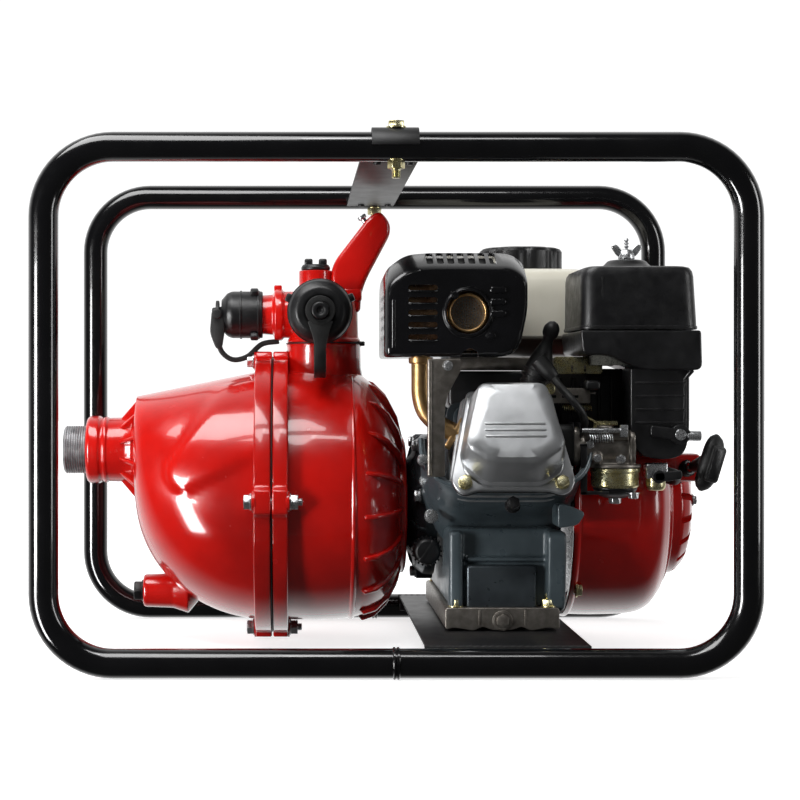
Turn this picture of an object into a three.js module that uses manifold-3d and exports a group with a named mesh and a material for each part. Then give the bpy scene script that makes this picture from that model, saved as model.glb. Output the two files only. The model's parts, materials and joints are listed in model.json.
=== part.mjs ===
// Portable fire pump: a two-stage centrifugal pump driven by a small petrol engine, in a tube frame.
// Millimetres. +X runs from the suction side to the starter side, +Y away from the valve cover, +Z up.
// The origin is the centre of the footprint, on the ground.
import * as THREE from "three";
import { mergeVertices } from "three/addons/utils/BufferGeometryUtils.js";
import Module from "manifold-3d";

// ---- driving dimensions -------------------------------------------------------------------------
const GAP = 0.3; // clearance between neighbouring pieces
const TUBE = 25.4; // frame tube, outside diameter
const FRAME_LENGTH = 623;
const FRAME_HEIGHT = 463;
const LOOP_Y = 205; // the two loops stand at plus and minus this
const BEND_RADIUS = 59; // centreline radius of the frame's bends
const BRIDGE_WIDTH = 50;
const BRIDGE_Z = 440; // underside of the bridge between the top tubes
const BASE_X = [26, 168]; // base plate, left and right edges
const BASE_TOP = 25.7;

const AXIS_Y = 45; // crankshaft and impeller axis
const AXIS_Z = 132;
const CASING_Z = 142; // the casing is eccentric to its shaft
const CASING_RADIUS = 123;
const CASING_WALL = 6;
const CASING_LEFT = -240;
const FLANGE_RADIUS = 134;
const FLANGE_FRONT = [-123.7, -107.8];
const FLANGE_REAR = [-106.6, -92];
const LUG_COUNT = 4;
const CASING_SIDES = 24;
const LUG_PITCH = 131;
const SUCTION_Z = 185.5;
const NIPPLE_RADIUS = 23.75; // 1 1/2 inch pipe thread
const NIPPLE_LEFT = -311.3;

const MANIFOLD_X = -60;
const MANIFOLD_RADIUS = 33;
const PRIMING_X = -65;
const MANIFOLD_BASE = 290.2;
const MANIFOLD_TOP = 342;
const OUTLET_Z = 318;
const FRONT_CAP_RIM = -24; // Y of the front cap's rim
const SIDE_CAP_RIM = -117; // X of the side cap's rim
const DRAIN_Z = 47;

const CYLINDER_TILT = THREE.MathUtils.degToRad(25);
const CYLINDER_X = 105;
const BORE_RADIUS = 34;
const CRANK_THROW = 27;
const ROD_LENGTH = 84;
const WEB_RADIUS = 41;
const ROD_HALF_WIDTH = 8;
const SHAFT_RADIUS = 10; // pump end of the crankshaft
const JOURNAL_RADIUS = 15;
const FAN_RADIUS = 109;
const RECOIL_RADIUS = 71;

// ---- shape helpers ------------------------------------------------------------------------------
const wasm = await Module();
wasm.setup();
const X = new THREE.Vector3(1, 0, 0);
const Y = new THREE.Vector3(0, 1, 0);
const Z = new THREE.Vector3(0, 0, 1);
const vector = (x, y, z) => new THREE.Vector3(x, y, z);

// Turns a closed three.js geometry into a solid whose faces point out.
function solid(geometry) {
  const bare = geometry.clone();
  bare.deleteAttribute("normal");
  bare.deleteAttribute("uv");
  const merged = mergeVertices(bare, 1e-3);
  const place = merged.attributes.position;
  const faces = [];
  let volume = 0;
  const corner = [new THREE.Vector3(), new THREE.Vector3(), new THREE.Vector3()];
  for (let i = 0; i < merged.index.count; i += 3) {
    const [a, b, c] = [0, 1, 2].map((k) => merged.index.getX(i + k));
    if (a === b || b === c || c === a) continue;
    faces.push([a, b, c]);
    corner.forEach((point, k) => point.fromBufferAttribute(place, [a, b, c][k]));
    volume += corner[0].dot(corner[1].cross(corner[2]));
  }
  const wound = volume > 0 ? faces : faces.map(([a, b, c]) => [a, c, b]);
  return new wasm.Manifold(new wasm.Mesh({
    numProp: 3,
    vertProperties: new Float32Array(place.array),
    triVerts: new Uint32Array(wound.flat()),
  }));
}

const join = (first, ...others) => others.reduce((whole, next) => whole.add(next), first);
const cut = (first, ...others) => others.reduce((whole, next) => whole.subtract(next), first);

function block([x0, x1], [y0, y1], [z0, z1]) {
  const box = new THREE.BoxGeometry(x1 - x0, y1 - y0, z1 - z0);
  box.translate((x0 + x1) / 2, (y0 + y1) / 2, (z0 + z1) / 2);
  return solid(box);
}

// A profile of [distance along, radius] points turned about a line.
function turned(profile, origin, direction, segments = 20) {
  const points = profile.map(([along, radius]) => new THREE.Vector2(radius, along));
  const lathe = new THREE.LatheGeometry(points, segments);
  lathe.rotateY(Math.PI / segments);
  lathe.applyQuaternion(new THREE.Quaternion().setFromUnitVectors(Y, direction.clone().normalize()));
  lathe.translate(origin.x, origin.y, origin.z);
  return solid(lathe);
}

const rod = (origin, direction, [from, to], radius, segments = 16) =>
  turned([[from, 0], [from, radius], [to, radius], [to, 0]], origin, direction, segments);

const ring = (origin, direction, [from, to], inner, outer, segments = 24) =>
  turned([[from, inner], [from, outer], [to, outer], [to, inner], [from, inner]],
    origin, direction, segments);

// A flat outline pushed along an axis. The outline is read as (Y, Z), (X, Z) or (X, Y).
function slab(axis, shape, [from, to], chamfer = 0) {
  const options = { depth: to - from - 2 * chamfer, curveSegments: 3, bevelEnabled: chamfer > 0 };
  Object.assign(options, { bevelSize: chamfer, bevelThickness: chamfer, bevelSegments: 1 });
  options.bevelOffset = -chamfer;
  const plate = new THREE.ExtrudeGeometry(shape, options);
  plate.translate(0, 0, from + chamfer);
  const turn = new THREE.Matrix4();
  if (axis === X) turn.makeBasis(Y, Z, X);
  if (axis === Y) turn.makeBasis(X, Z, Y);
  plate.applyMatrix4(turn);
  return solid(plate);
}

function roundedRect([u0, u1], [v0, v1], radius) {
  const shape = new THREE.Shape();
  shape.absarc(u1 - radius, v0 + radius, radius, -Math.PI / 2, 0);
  shape.absarc(u1 - radius, v1 - radius, radius, 0, Math.PI / 2);
  shape.absarc(u0 + radius, v1 - radius, radius, Math.PI / 2, Math.PI);
  shape.absarc(u0 + radius, v0 + radius, radius, Math.PI, 1.5 * Math.PI);
  return shape;
}

const outline = (points) => new THREE.Shape(points.map(([u, v]) => new THREE.Vector2(u, v)));

// A path whose rings land exactly on the given points.
class PointPath extends THREE.Curve {
  constructor(points) {
    super();
    this.points = points;
  }
  getUtoTmapping(u) {
    return u;
  }
  getPoint(t) {
    const at = t * (this.points.length - 1);
    const i = Math.min(Math.floor(at), this.points.length - 2);
    return this.points[i].clone().lerp(this.points[i + 1], at - i);
  }
  getTangent(t) {
    const i = Math.round(t * (this.points.length - 1));
    const before = this.points[Math.max(i - 1, 0)];
    const after = this.points[Math.min(i + 1, this.points.length - 1)];
    const back = this.points[i].clone().sub(before).normalize();
    const ahead = after.clone().sub(this.points[i]).normalize();
    return back.add(ahead).normalize();
  }
}

function sweep(points, section) {
  const path = new PointPath(points);
  const options = { steps: points.length - 1, extrudePath: path, curveSegments: 3 };
  return solid(new THREE.ExtrudeGeometry(section, options));
}

const polygon = (radius, sides) => outline(Array.from({ length: sides }, (_, i) => {
  const angle = (2 * Math.PI * (i + 0.5)) / sides;
  return [radius * Math.cos(angle), radius * Math.sin(angle)];
}));

// A hexagon-headed bolt, or a bolt with its nut when nutAt is given.
function bolt(origin, direction, { head, length, shank = 3.9, width = 7.5, nutAt = 0 }) {
  const body = join(rod(origin, direction, [-head, 0], width, 6),
    rod(origin, direction, [-1, length], shank, 10));
  return nutAt ? join(body, rod(origin, direction, [nutAt, nutAt + 7], width, 6)) : body;
}

// ---- materials ----------------------------------------------------------------------------------
const finish = (color, roughness, metalness) => ({ color, roughness, metalness });
const FINISHES = {
  frameBlack: finish(0x0b0b0c, 0.22, 0.1),
  redEnamel: finish(0xc4100c, 0.2, 0.05),
  galvanised: finish(0x8f9090, 0.5, 0.8),
  blackPlastic: finish(0x141516, 0.45, 0),
  blackRubber: finish(0x161616, 0.75, 0),
  darkCasting: finish(0x24272a, 0.5, 0.4),
  silverCasting: finish(0x9da1a5, 0.4, 0.8),
  guardBlack: finish(0x09090a, 0.18, 0.1),
  heatedSteel: finish(0x8a6040, 0.35, 0.9),
  creamEnamel: finish(0xe6e2d2, 0.3, 0.05),
  zinc: finish(0xb9bbbd, 0.35, 0.9),
  yellowZinc: finish(0xb9a555, 0.35, 0.9),
  bronze: finish(0xa57a45, 0.4, 0.9),
  groundSteel: finish(0xa9adb2, 0.25, 0.9),
  gasket: finish(0x30302e, 0.8, 0),
  filterFoam: finish(0x4a4a44, 0.95, 0),
  rope: finish(0xdad6cb, 0.85, 0),
  ceramic: finish(0xf0eee8, 0.3, 0),
};

const pump = new THREE.Group();

function addPiece(name, shape, look) {
  const { vertProperties, triVerts } = shape.getMesh();
  const geometry = new THREE.BufferGeometry();
  geometry.setAttribute("position", new THREE.BufferAttribute(vertProperties, 3));
  geometry.setIndex(new THREE.BufferAttribute(triVerts, 1));
  geometry.computeVertexNormals();
  const mesh = new THREE.Mesh(geometry, new THREE.MeshStandardMaterial(look));
  mesh.name = name;
  pump.add(mesh);
}

// ---- frame --------------------------------------------------------------------------------------
function loopPath(y) {
  const side = FRAME_LENGTH / 2 - TUBE / 2;
  const low = TUBE / 2;
  const high = FRAME_HEIGHT - TUBE / 2;
  const seam = 0.1; // the ends meet inside the weld bead
  const path = [vector(seam, y, low)];
  const corners = [[1, low, -90], [1, high, 0], [-1, high, 90], [-1, low, 180]];
  for (const [sign, z, start] of corners) {
    const inward = z === low ? 1 : -1;
    for (let step = 0; step <= 5; step += 1) {
      const angle = THREE.MathUtils.degToRad(start + step * 18);
      const x = sign * (side - BEND_RADIUS) + BEND_RADIUS * Math.cos(angle);
      path.push(vector(x, y, z + inward * BEND_RADIUS + BEND_RADIUS * Math.sin(angle)));
    }
  }
  path.push(vector(-seam, y, low));
  return path;
}

function frameLoop(y) {
  const radius = TUBE / 2 / Math.cos(Math.PI / 12);
  const tube = sweep(loopPath(y), polygon(radius, 12));
  const bead = rod(vector(0, y, TUBE / 2), X, [-2.5, 2.5], radius + 1.2, 12);
  const boltHole = rod(vector(0, y, FRAME_HEIGHT - TUBE), Z, [-5, TUBE + 5], 4.3);
  const underground = block([-10, 10], [y - 20, y + 20], [-10, 0]);
  return cut(join(tube, bead), boltHole, underground);
}

function basePlate() {
  const half = LOOP_Y - TUBE / 2 - GAP - 0.6;
  const sheet = block(BASE_X, [-half, half], [BASE_TOP - 3.5, BASE_TOP]);
  const lips = [-half, half - 3.5].map((y) => block(BASE_X, [y, y + 3.5], [BASE_TOP - 16, BASE_TOP]));
  return join(sheet, ...lips);
}

function topBridge() {
  const inner = TUBE / 2 + 0.8;
  const axis = FRAME_HEIGHT - TUBE / 2;
  const strap = [-21, 19];
  const half = LOOP_Y - inner - 1;
  let bridge = block([-30, BRIDGE_WIDTH - 30], [-half, half], [BRIDGE_Z, BRIDGE_Z + 3]);
  for (const side of [-1, 1]) {
    const y = side * LOOP_Y;
    const saddle = ring(vector(0, y, axis), X, strap, inner, inner + 3)
      .intersect(block([-40, 40], [y - 20, y + 20], [axis - 1, axis + 20]));
    const edges = [half, half - 3].map((d) => side * d).sort((a, b) => a - b);
    const leg = block(strap, edges, [BRIDGE_Z, axis]);
    bridge = cut(join(bridge, saddle, leg), rod(vector(0, y, axis), Z, [0, 30], 4.3));
  }
  return bridge;
}

function bridgeBolt(side) {
  const top = FRAME_HEIGHT + 0.8 + 3 + GAP;
  return bolt(vector(0, side * LOOP_Y, top), Z.clone().negate(), { head: 5, length: 42, nutAt: 30 });
}

addPiece("frame_loop_front", frameLoop(-LOOP_Y), FINISHES.frameBlack);
addPiece("frame_loop_rear", frameLoop(LOOP_Y), FINISHES.frameBlack);
addPiece("base_plate", basePlate(), FINISHES.frameBlack);
addPiece("top_bridge", topBridge(), FINISHES.frameBlack);
addPiece("bridge_bolt_front", bridgeBolt(-1), FINISHES.yellowZinc);
addPiece("bridge_bolt_rear", bridgeBolt(1), FINISHES.yellowZinc);

// ---- pump casing --------------------------------------------------------------------------------
const suction = vector(0, AXIS_Y, SUCTION_Z);
const shaft = vector(0, AXIS_Y, AXIS_Z);
const casing = vector(0, AXIS_Y, CASING_Z);
const lugAngles = Array.from({ length: LUG_COUNT }, (_, i) => 2 * Math.PI * (0.25 + i / LUG_COUNT));
const lugPoint = (angle) =>
  vector(0, AXIS_Y + LUG_PITCH * Math.cos(angle), CASING_Z + LUG_PITCH * Math.sin(angle));

// The suction bowl's upper and lower outlines, seen from the side, at a distance 0..1 along it.
const bowlTop = (t) => CASING_Z + CASING_RADIUS - 27 * (1 - t);
const bowlBottom = (t) => CASING_Z - 7 - (CASING_RADIUS - 7) * Math.sqrt(1 - (1 - t) ** 2);

// A turned casing whose centre wanders up or down along its length.
function eccentric(profile, centreZ) {
  const points = profile.map(([along, radius]) => new THREE.Vector2(radius, along));
  const lathe = new THREE.LatheGeometry(points, CASING_SIDES);
  lathe.rotateZ(-Math.PI / 2);
  const place = lathe.attributes.position;
  for (let i = 0; i < place.count; i += 1) {
    place.setZ(i, place.getZ(i) + centreZ(place.getX(i)));
    place.setY(i, place.getY(i) + AXIS_Y);
  }
  return solid(lathe);
}

function bowl() {
  const length = FLANGE_FRONT[1] - CASING_LEFT;
  const stations = Array.from({ length: 7 }, (_, i) => 1 - Math.cos((i * Math.PI) / 12));
  const radius = (t) => (bowlTop(t) - bowlBottom(t)) / 2;
  const outer = stations.map((t) => [CASING_LEFT + t * length, radius(t)]);
  const inner = stations.slice(1).map((t) => [CASING_LEFT + t * length, radius(t) - CASING_WALL]);
  const cavityEnd = CASING_LEFT + CASING_WALL;
  inner[0] = [cavityEnd, radius((cavityEnd - CASING_LEFT) / length) - CASING_WALL];
  const profile = [[CASING_LEFT, 0], ...outer, ...inner.reverse(), [cavityEnd, 0]];
  return eccentric(profile, (x) => {
    const t = Math.min(Math.max((x - CASING_LEFT) / length, 0), 1);
    return (bowlTop(t) + bowlBottom(t)) / 2;
  });
}

function flange([from, to]) {
  const plate = ring(casing, X, [from, to], CASING_RADIUS - CASING_WALL, FLANGE_RADIUS, CASING_SIDES);
  return lugAngles.reduce((whole, angle) => whole.add(rod(lugPoint(angle), X, [from, to], 9, 8)), plate);
}

const lugHoles = (from, to) => lugAngles.map((angle) => rod(lugPoint(angle), X, [from, to], 4.6, 6));

function frontCasing() {
  const neck = turned([[-289, 0], [-289, 30], [-285, 33], [-276, 33], [-274, 31.5], [-236, 31.5], [-236, 0]],
    suction, X, 28);
  const drainBoss = rod(vector(0, AXIS_Y, DRAIN_Z), X, [-234, -196], 16);
  const shell = join(bowl(), neck, drainBoss, flange(FLANGE_FRONT));
  const bore = turned([[-290, 0], [-290, 24.05], [-266, 24.05], [-266, 20], [-228, 20], [-228, 0]], suction, X, 28);
  const drainBore = rod(vector(0, AXIS_Y, DRAIN_Z), X, [-240, -186], 7.4);
  return cut(shell, bore, drainBore, ...lugHoles(-130, -100));
}

function rearCasing() {
  const dome = eccentric([[18, 0], [18, 62], [8, 88], [-5, 107], [-24, 119], [-60, CASING_RADIUS],
    [FLANGE_REAR[0], CASING_RADIUS], [FLANGE_REAR[0], 117], [-60, 117], [-28, 112], [-8, 98],
    [4, 78], [4, 0]], (x) => CASING_Z - 12 * Math.max(0, (x + 24) / 42));
  const nutRoom = rod(lugPoint(Math.PI / 2), X, [FLANGE_REAR[1], FLANGE_REAR[1] + 13], 11);
  const neck = rod(vector(MANIFOLD_X, AXIS_Y, 0), Z, [245, MANIFOLD_BASE - 0.4], 35, 24).subtract(nutRoom);
  const spigot = rod(shaft, X, [17, 21.7], 40, 24);
  const throat = rod(vector(MANIFOLD_X, AXIS_Y, 0), Z, [240, 300], 20, 16);
  const shaftHole = turned([[1, 0], [1, 20.3], [14, 20.3], [14, 10.6], [30, 10.6], [30, 0]], shaft, X, 20);
  return cut(join(dome, neck, spigot, flange(FLANGE_REAR)), throat, shaftHole, ...lugHoles(-110, -90));
}

function suctionFlap() {
  const at = vector(CASING_LEFT + CASING_WALL + 0.5, AXIS_Y, SUCTION_Z);
  const lug = block([at.x, at.x + 4], [AXIS_Y - 8, AXIS_Y + 8], [SUCTION_Z + 15, SUCTION_Z + 31]);
  return join(rod(at, X, [0, 4], 25), lug);
}

// One stage: a hub, a back plate and curved vanes under a thin shroud.
function impeller(left) {
  const hub = ring(shaft, X, [left, left + 24], SHAFT_RADIUS + GAP, 18, 14);
  const back = ring(shaft, X, [left + 20, left + 24], SHAFT_RADIUS + GAP, 72, 18);
  const shroud = ring(shaft, X, [left, left + 3], 30, 72, 18);
  const vanes = Array.from({ length: 6 }, (_, i) => {
    const vane = new THREE.BoxGeometry(19, 50, 3);
    vane.rotateX(0.6).translate(left + 11.5, 0, 46).rotateX((i * Math.PI) / 3);
    return solid(vane.translate(0, AXIS_Y, AXIS_Z));
  });
  const sides = ring(shaft, X, [left - 1, left + 26], 16, 71, 18);
  return join(hub, back, shroud, join(...vanes).intersect(sides));
}

function diffuser() {
  return turned([[-106, 84], [-106, 90], [-38, 90], [-38, 84], [-68, 84], [-68, 12], [-73, 12], [-73, 84],
    [-106, 84]], shaft, X, 22);
}

addPiece("pump_front_casing", frontCasing(), FINISHES.redEnamel);
addPiece("pump_rear_casing", rearCasing(), FINISHES.redEnamel);
addPiece("casing_gasket", ring(casing, X, [-107.5, -106.9], 118, 124, CASING_SIDES), FINISHES.gasket);
const nipple = ring(suction, X, [NIPPLE_LEFT, -266.5], 20, NIPPLE_RADIUS, 32);
addPiece("suction_nipple", nipple, FINISHES.galvanised);
addPiece("suction_flap", suctionFlap(), FINISHES.blackRubber);
addPiece("diffuser", diffuser(), FINISHES.darkCasting);
addPiece("impeller_first_stage", impeller(-103), FINISHES.bronze);
addPiece("impeller_second_stage", impeller(-66), FINISHES.bronze);
addPiece("shaft_seal", ring(shaft, X, [2, 13.7], SHAFT_RADIUS + GAP, 20), FINISHES.ceramic);
addPiece("drain_plug", bolt(vector(-234.3, AXIS_Y, DRAIN_Z), X, { head: 9, length: 20, shank: 7, width: 10.5 }),
  FINISHES.blackPlastic);
const flangeGrip = FLANGE_REAR[1] - FLANGE_FRONT[0] + 2 * GAP;
addPiece("casing_bolt", bolt(lugPoint(Math.PI).setX(FLANGE_FRONT[0] - GAP), X,
  { head: 6, length: flangeGrip + 9, nutAt: flangeGrip }), FINISHES.zinc);

// ---- discharge manifold and its caps ------------------------------------------------------------
const frontOutlet = vector(MANIFOLD_X - 2, AXIS_Y, OUTLET_Z);
const towardsViewer = Y.clone().negate();
const towardsSuction = X.clone().negate();

function manifold() {
  const tower = vector(MANIFOLD_X, AXIS_Y, 0);
  const body = rod(tower, Z, [MANIFOLD_BASE, MANIFOLD_TOP], MANIFOLD_RADIUS, 28);
  const frontSpigot = rod(frontOutlet, towardsViewer, [0, AXIS_Y - FRONT_CAP_RIM + 20], 24, 24);
  const sideSpigot = rod(frontOutlet, towardsSuction, [0, MANIFOLD_X - SIDE_CAP_RIM + 31], 19, 20);
  const priming = vector(PRIMING_X, AXIS_Y, 0);
  const primingBoss = rod(priming, Z, [MANIFOLD_TOP - 2, 361], 16, 18);
  const armSeat = block([-44, -22], [AXIS_Y - 13, AXIS_Y + 13], [MANIFOLD_TOP - 6, MANIFOLD_TOP + 2]);
  const whole = join(body, frontSpigot, sideSpigot, primingBoss, armSeat);
  return cut(whole, rod(tower, Z, [280, 334], 22, 18), rod(priming, Z, [330, 370], 9.4, 14),
    rod(frontOutlet, towardsViewer, [10, 120], 18, 20), rod(frontOutlet, towardsSuction, [10, 120], 14, 16));
}

function armShape() {
  const arm = new THREE.Shape();
  arm.moveTo(-21.5, MANIFOLD_TOP + 2.3);
  arm.lineTo(10, 405);
  arm.absarc(-1, 409, 11, -0.35, 2.4);
  arm.lineTo(-46, 370);
  arm.lineTo(-44, MANIFOLD_TOP + 2.3);
  return arm;
}

// A cup-shaped cap: rim at the origin, closed end and a round boss further along.
function outletCap(origin, direction, { depth, outer, inner, boss }) {
  const face = depth + 6;
  return turned([[face + 10, 0], [face + 10, boss], [face, boss], [face, outer - 4], [depth, outer],
    [0, outer], [0, inner], [depth, inner], [depth, 0]], origin, direction, 24);
}

// A tether: a ring round the cap's boss, then a strap hanging in a loop back to the manifold's foot.
function tether(bossPoint, direction, boss, path) {
  const eye = ring(bossPoint, direction, [0, 4], boss + 0.5, boss + 6, 16);
  const across = direction === towardsViewer ? outline([[-1.5, -6], [1.5, -6], [1.5, 6], [-1.5, 6]])
    : outline([[-6, -1.5], [6, -1.5], [6, 1.5], [-6, 1.5]]);
  return join(eye, sweep(path, across));
}

const frontCap = { depth: 21, outer: 30, inner: 24.4, boss: 8 };
const sideCap = { depth: 34, outer: 23, inner: 19.4, boss: 7 };
const frontCapAt = vector(frontOutlet.x, FRONT_CAP_RIM, OUTLET_Z);
const sideCapAt = vector(SIDE_CAP_RIM, AXIS_Y, OUTLET_Z);
const frontEye = frontCapAt.clone().addScaledVector(towardsViewer, frontCap.depth + 8);
const sideEye = sideCapAt.clone().addScaledVector(towardsSuction, sideCap.depth + 8);

function primingPlug() {
  const at = vector(PRIMING_X, AXIS_Y, 361.3);
  const prong = (x) => block([x - 3, x + 3], [at.y - 4, at.y + 4], [at.z + 3, 373]);
  const prongs = [at.x - 6, at.x + 6].map(prong);
  return join(rod(at, Z, [0, 5], 14, 20), rod(at, Z, [-14, 1], 9, 14), ...prongs);
}

addPiece("discharge_manifold", manifold(), FINISHES.redEnamel);
addPiece("carry_arm", slab(Y, armShape(), [AXIS_Y - 12, AXIS_Y + 12], 3), FINISHES.redEnamel);
addPiece("outlet_cap_front", outletCap(frontCapAt, towardsViewer, frontCap), FINISHES.blackPlastic);
addPiece("outlet_cap_side", outletCap(sideCapAt, towardsSuction, sideCap), FINISHES.blackPlastic);
addPiece("cap_strap_front", tether(frontEye, towardsViewer, frontCap.boss, [
  vector(-62, frontEye.y - 2, 307), vector(-62, frontEye.y - 2, 275), vector(-62, frontEye.y + 6, 259),
  vector(-62, frontEye.y + 22, 256), vector(-62, -16, 264), vector(-62, 1, 287)]), FINISHES.blackRubber);
addPiece("cap_strap_side", tether(sideEye, towardsSuction, sideCap.boss, [
  vector(sideEye.x - 2, AXIS_Y, 307), vector(sideEye.x - 1, AXIS_Y, 290), vector(sideEye.x + 10, AXIS_Y, 280),
  vector(-134, AXIS_Y, 284), vector(-122, AXIS_Y, 291), vector(-103, AXIS_Y, 292)]), FINISHES.blackRubber);
addPiece("priming_plug", primingPlug(), FINISHES.blackPlastic);

// ---- engine: crankcase, cylinder and crank train ------------------------------------------------
const towardsHead = vector(0, -Math.cos(CYLINDER_TILT), Math.sin(CYLINDER_TILT));
const crankCentre = vector(CYLINDER_X, AXIS_Y, AXIS_Z);
const onCylinder = (distance) => crankCentre.clone().addScaledVector(towardsHead, distance);
const WRIST_AT = CRANK_THROW + ROD_LENGTH; // wrist pin, from the crank axis, at top dead centre
const DECK_AT = 138; // top of the cylinder
const HEAD_AT = 170; // top of the cylinder head
const WEB_GAP = 10.5; // each web stands this far from the cylinder's axis

// A block lined up with the cylinder: across (X), over (square to both) and along it.
function alongCylinder(halfWidth, halfHeight, [from, to], radius = 6, lift = 0) {
  const shape = roundedRect([lift - halfHeight, lift + halfHeight], [-halfWidth, halfWidth], radius);
  const options = { depth: to - from, bevelEnabled: false, curveSegments: 2 };
  const bar = new THREE.ExtrudeGeometry(shape, options).translate(0, 0, from);
  const over = vector(0, Math.sin(CYLINDER_TILT), Math.cos(CYLINDER_TILT));
  bar.applyMatrix4(new THREE.Matrix4().makeBasis(over, X, towardsHead));
  return solid(bar.translate(crankCentre.x, crankCentre.y, crankCentre.z));
}

function crankcase() {
  const drum = rod(shaft, X, [50, 159], 72, 24);
  const base = block([54, 154], [-50, 140], [46, 110]);
  const foot = block([48, 156], [-52, 142], [BASE_TOP + GAP, 47]);
  const barrel = alongCylinder(44, 44, [40, DECK_AT - GAP]);
  const posts = [[60, 72], [140, 152]].map((span) => block(span, [60, 72], [190, 276.7]));
  const shell = join(drum, base, foot, barrel, ...posts);
  const sump = block([49, 138], [-30, 120], [60, 110]);
  const room = rod(shaft, X, [49, 138], 64, 24);
  const bore = rod(crankCentre, towardsHead, [0, 160], BORE_RADIUS + 0.2, 28);
  const bearingSeat = rod(shaft, X, [130, 154], 26.5, 24);
  const shaftHole = rod(shaft, X, [130, 170], JOURNAL_RADIUS + 1, 20);
  const drainHole = rod(vector(103, -60, 35), Y, [0, 40], 6.4, 12);
  return cut(shell, sump, room, bore, bearingSeat, shaftHole, drainHole);
}

const filler = vector(39, -14, 92);

function crankcaseCover() {
  const plate = turned([[22, JOURNAL_RADIUS + 1], [22, 42], [30, 60], [42, 70], [49.7, 70], [49.7, 26.5],
    [34, 26.5], [34, JOURNAL_RADIUS + 1], [22, JOURNAL_RADIUS + 1]], shaft, X, 22);
  const fillerNeck = rod(filler, towardsViewer, [-22, 8], 10.4, 14);
  const outside = fillerNeck.subtract(rod(shaft, X, [20, 60], 40));
  return cut(join(plate, outside), rod(filler, towardsViewer, [-12, 20], 8.4, 12));
}

const journal = (from, to) => rod(shaft, X, [from, to], JOURNAL_RADIUS, 20);

function crankDriveHalf() {
  const tail = rod(shaft, X, [-106, 32], SHAFT_RADIUS, 18);
  const web = rod(shaft, X, [CYLINDER_X - WEB_GAP - 14, CYLINDER_X - WEB_GAP], WEB_RADIUS, 28);
  return join(tail, journal(30, 84), web);
}

function crankFlywheelHalf() {
  const web = rod(shaft, X, [CYLINDER_X + WEB_GAP, CYLINDER_X + WEB_GAP + 14], WEB_RADIUS, 28);
  return join(web, journal(124, 166), rod(shaft, X, [165, 216], 12, 18));
}

const bigEnd = onCylinder(CRANK_THROW);
const wristPoint = onCylinder(WRIST_AT);
const rodWidth = [-ROD_HALF_WIDTH, ROD_HALF_WIDTH];

function connectingRod() {
  const beam = alongCylinder(5, 8, [CRANK_THROW + 15, WRIST_AT - 10], 2);
  const eyes = join(rod(bigEnd, X, rodWidth, 20, 20), rod(wristPoint, X, rodWidth, 14, 18));
  return cut(join(eyes, beam), rod(bigEnd, X, [-20, 20], 13.3, 18), rod(wristPoint, X, [-20, 20], 9.3, 16));
}

function piston() {
  const skirt = [WRIST_AT - 12, WRIST_AT + 18];
  const cup = turned([[WRIST_AT + 26, 0], [WRIST_AT + 26, BORE_RADIUS - 0.4], [skirt[0], BORE_RADIUS - 0.4],
    [skirt[0], 28], [skirt[1], 28], [skirt[1], 0]], crankCentre, towardsHead, 24);
  return cup.subtract(rod(wristPoint, X, [-40, 40], 9.3, 16));
}

function cylinderHead() {
  const casting = alongCylinder(44, 42, [DECK_AT, HEAD_AT]);
  const chamber = rod(crankCentre, towardsHead, [DECK_AT - 5, DECK_AT + 6], 28, 20);
  const plugHole = rod(sparkPoint, sparkLine, [-16, 20], 7.4, 14);
  const plugWell = rod(sparkPoint, sparkLine, [0, 30], 13, 14);
  return cut(casting, chamber, plugHole, plugWell);
}

const sparkPoint = vector(128, -76, 235.3);
const sparkLine = vector(0.3, -0.15, 0.94).normalize();

function valveCover() {
  const skirt = alongCylinder(53.5, 50, [HEAD_AT + 1, HEAD_AT + 9], 12, -9);
  const dome = alongCylinder(40, 38, [HEAD_AT + 8, HEAD_AT + 38], 10, -4);
  const room = alongCylinder(36, 34, [HEAD_AT - 5, HEAD_AT + 34], 6, -4);
  return cut(join(skirt, dome), room);
}

addPiece("crankcase", crankcase(), FINISHES.darkCasting);
addPiece("crankcase_cover", crankcaseCover(), FINISHES.darkCasting);
addPiece("cylinder_head", cylinderHead(), FINISHES.silverCasting);
addPiece("valve_cover", valveCover(), FINISHES.silverCasting);
addPiece("crank_drive_half", crankDriveHalf(), FINISHES.groundSteel);
addPiece("crank_flywheel_half", crankFlywheelHalf(), FINISHES.groundSteel);
const mainBearing = (span) => ring(shaft, X, span, JOURNAL_RADIUS + GAP, 26);
addPiece("bearing_drive_side", mainBearing([34.3, 49]), FINISHES.groundSteel);
addPiece("bearing_flywheel_side", mainBearing([139, 153.7]), FINISHES.groundSteel);
addPiece("connecting_rod", connectingRod(), FINISHES.groundSteel);
addPiece("crankpin", rod(bigEnd, X, [0.5 - WEB_GAP, WEB_GAP - 0.5], 13, 18), FINISHES.groundSteel);
addPiece("piston", piston(), FINISHES.silverCasting);
addPiece("wrist_pin", rod(wristPoint, X, [-32, 32], 9, 16), FINISHES.groundSteel);
addPiece("oil_filler_cap", join(rod(filler, towardsViewer, [8.5, 20.5], 14, 16),
  rod(filler, towardsViewer, [-2, 9], 8, 12)), FINISHES.blackPlastic);

// ---- engine: flywheel, fan cover and recoil starter ---------------------------------------------
const FAN_LEFT = 175;
const FAN_RIGHT = 269;
const RECOIL_RIGHT = 298;
const pullLine = vector(0.45, -0.87, 0.2).normalize();
const ropeExit = vector(280, -62, 172);

function fanCover() {
  const shell = turned([[FAN_LEFT, FAN_RADIUS], [234, FAN_RADIUS], [254, 102], [FAN_RIGHT, 86], [FAN_RIGHT, 60],
    [265, 60], [265, 83], [251, 98], [233, FAN_RADIUS - 4], [FAN_LEFT, FAN_RADIUS - 4],
    [FAN_LEFT, FAN_RADIUS]], shaft, X, 26);
  return shell;
}

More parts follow.
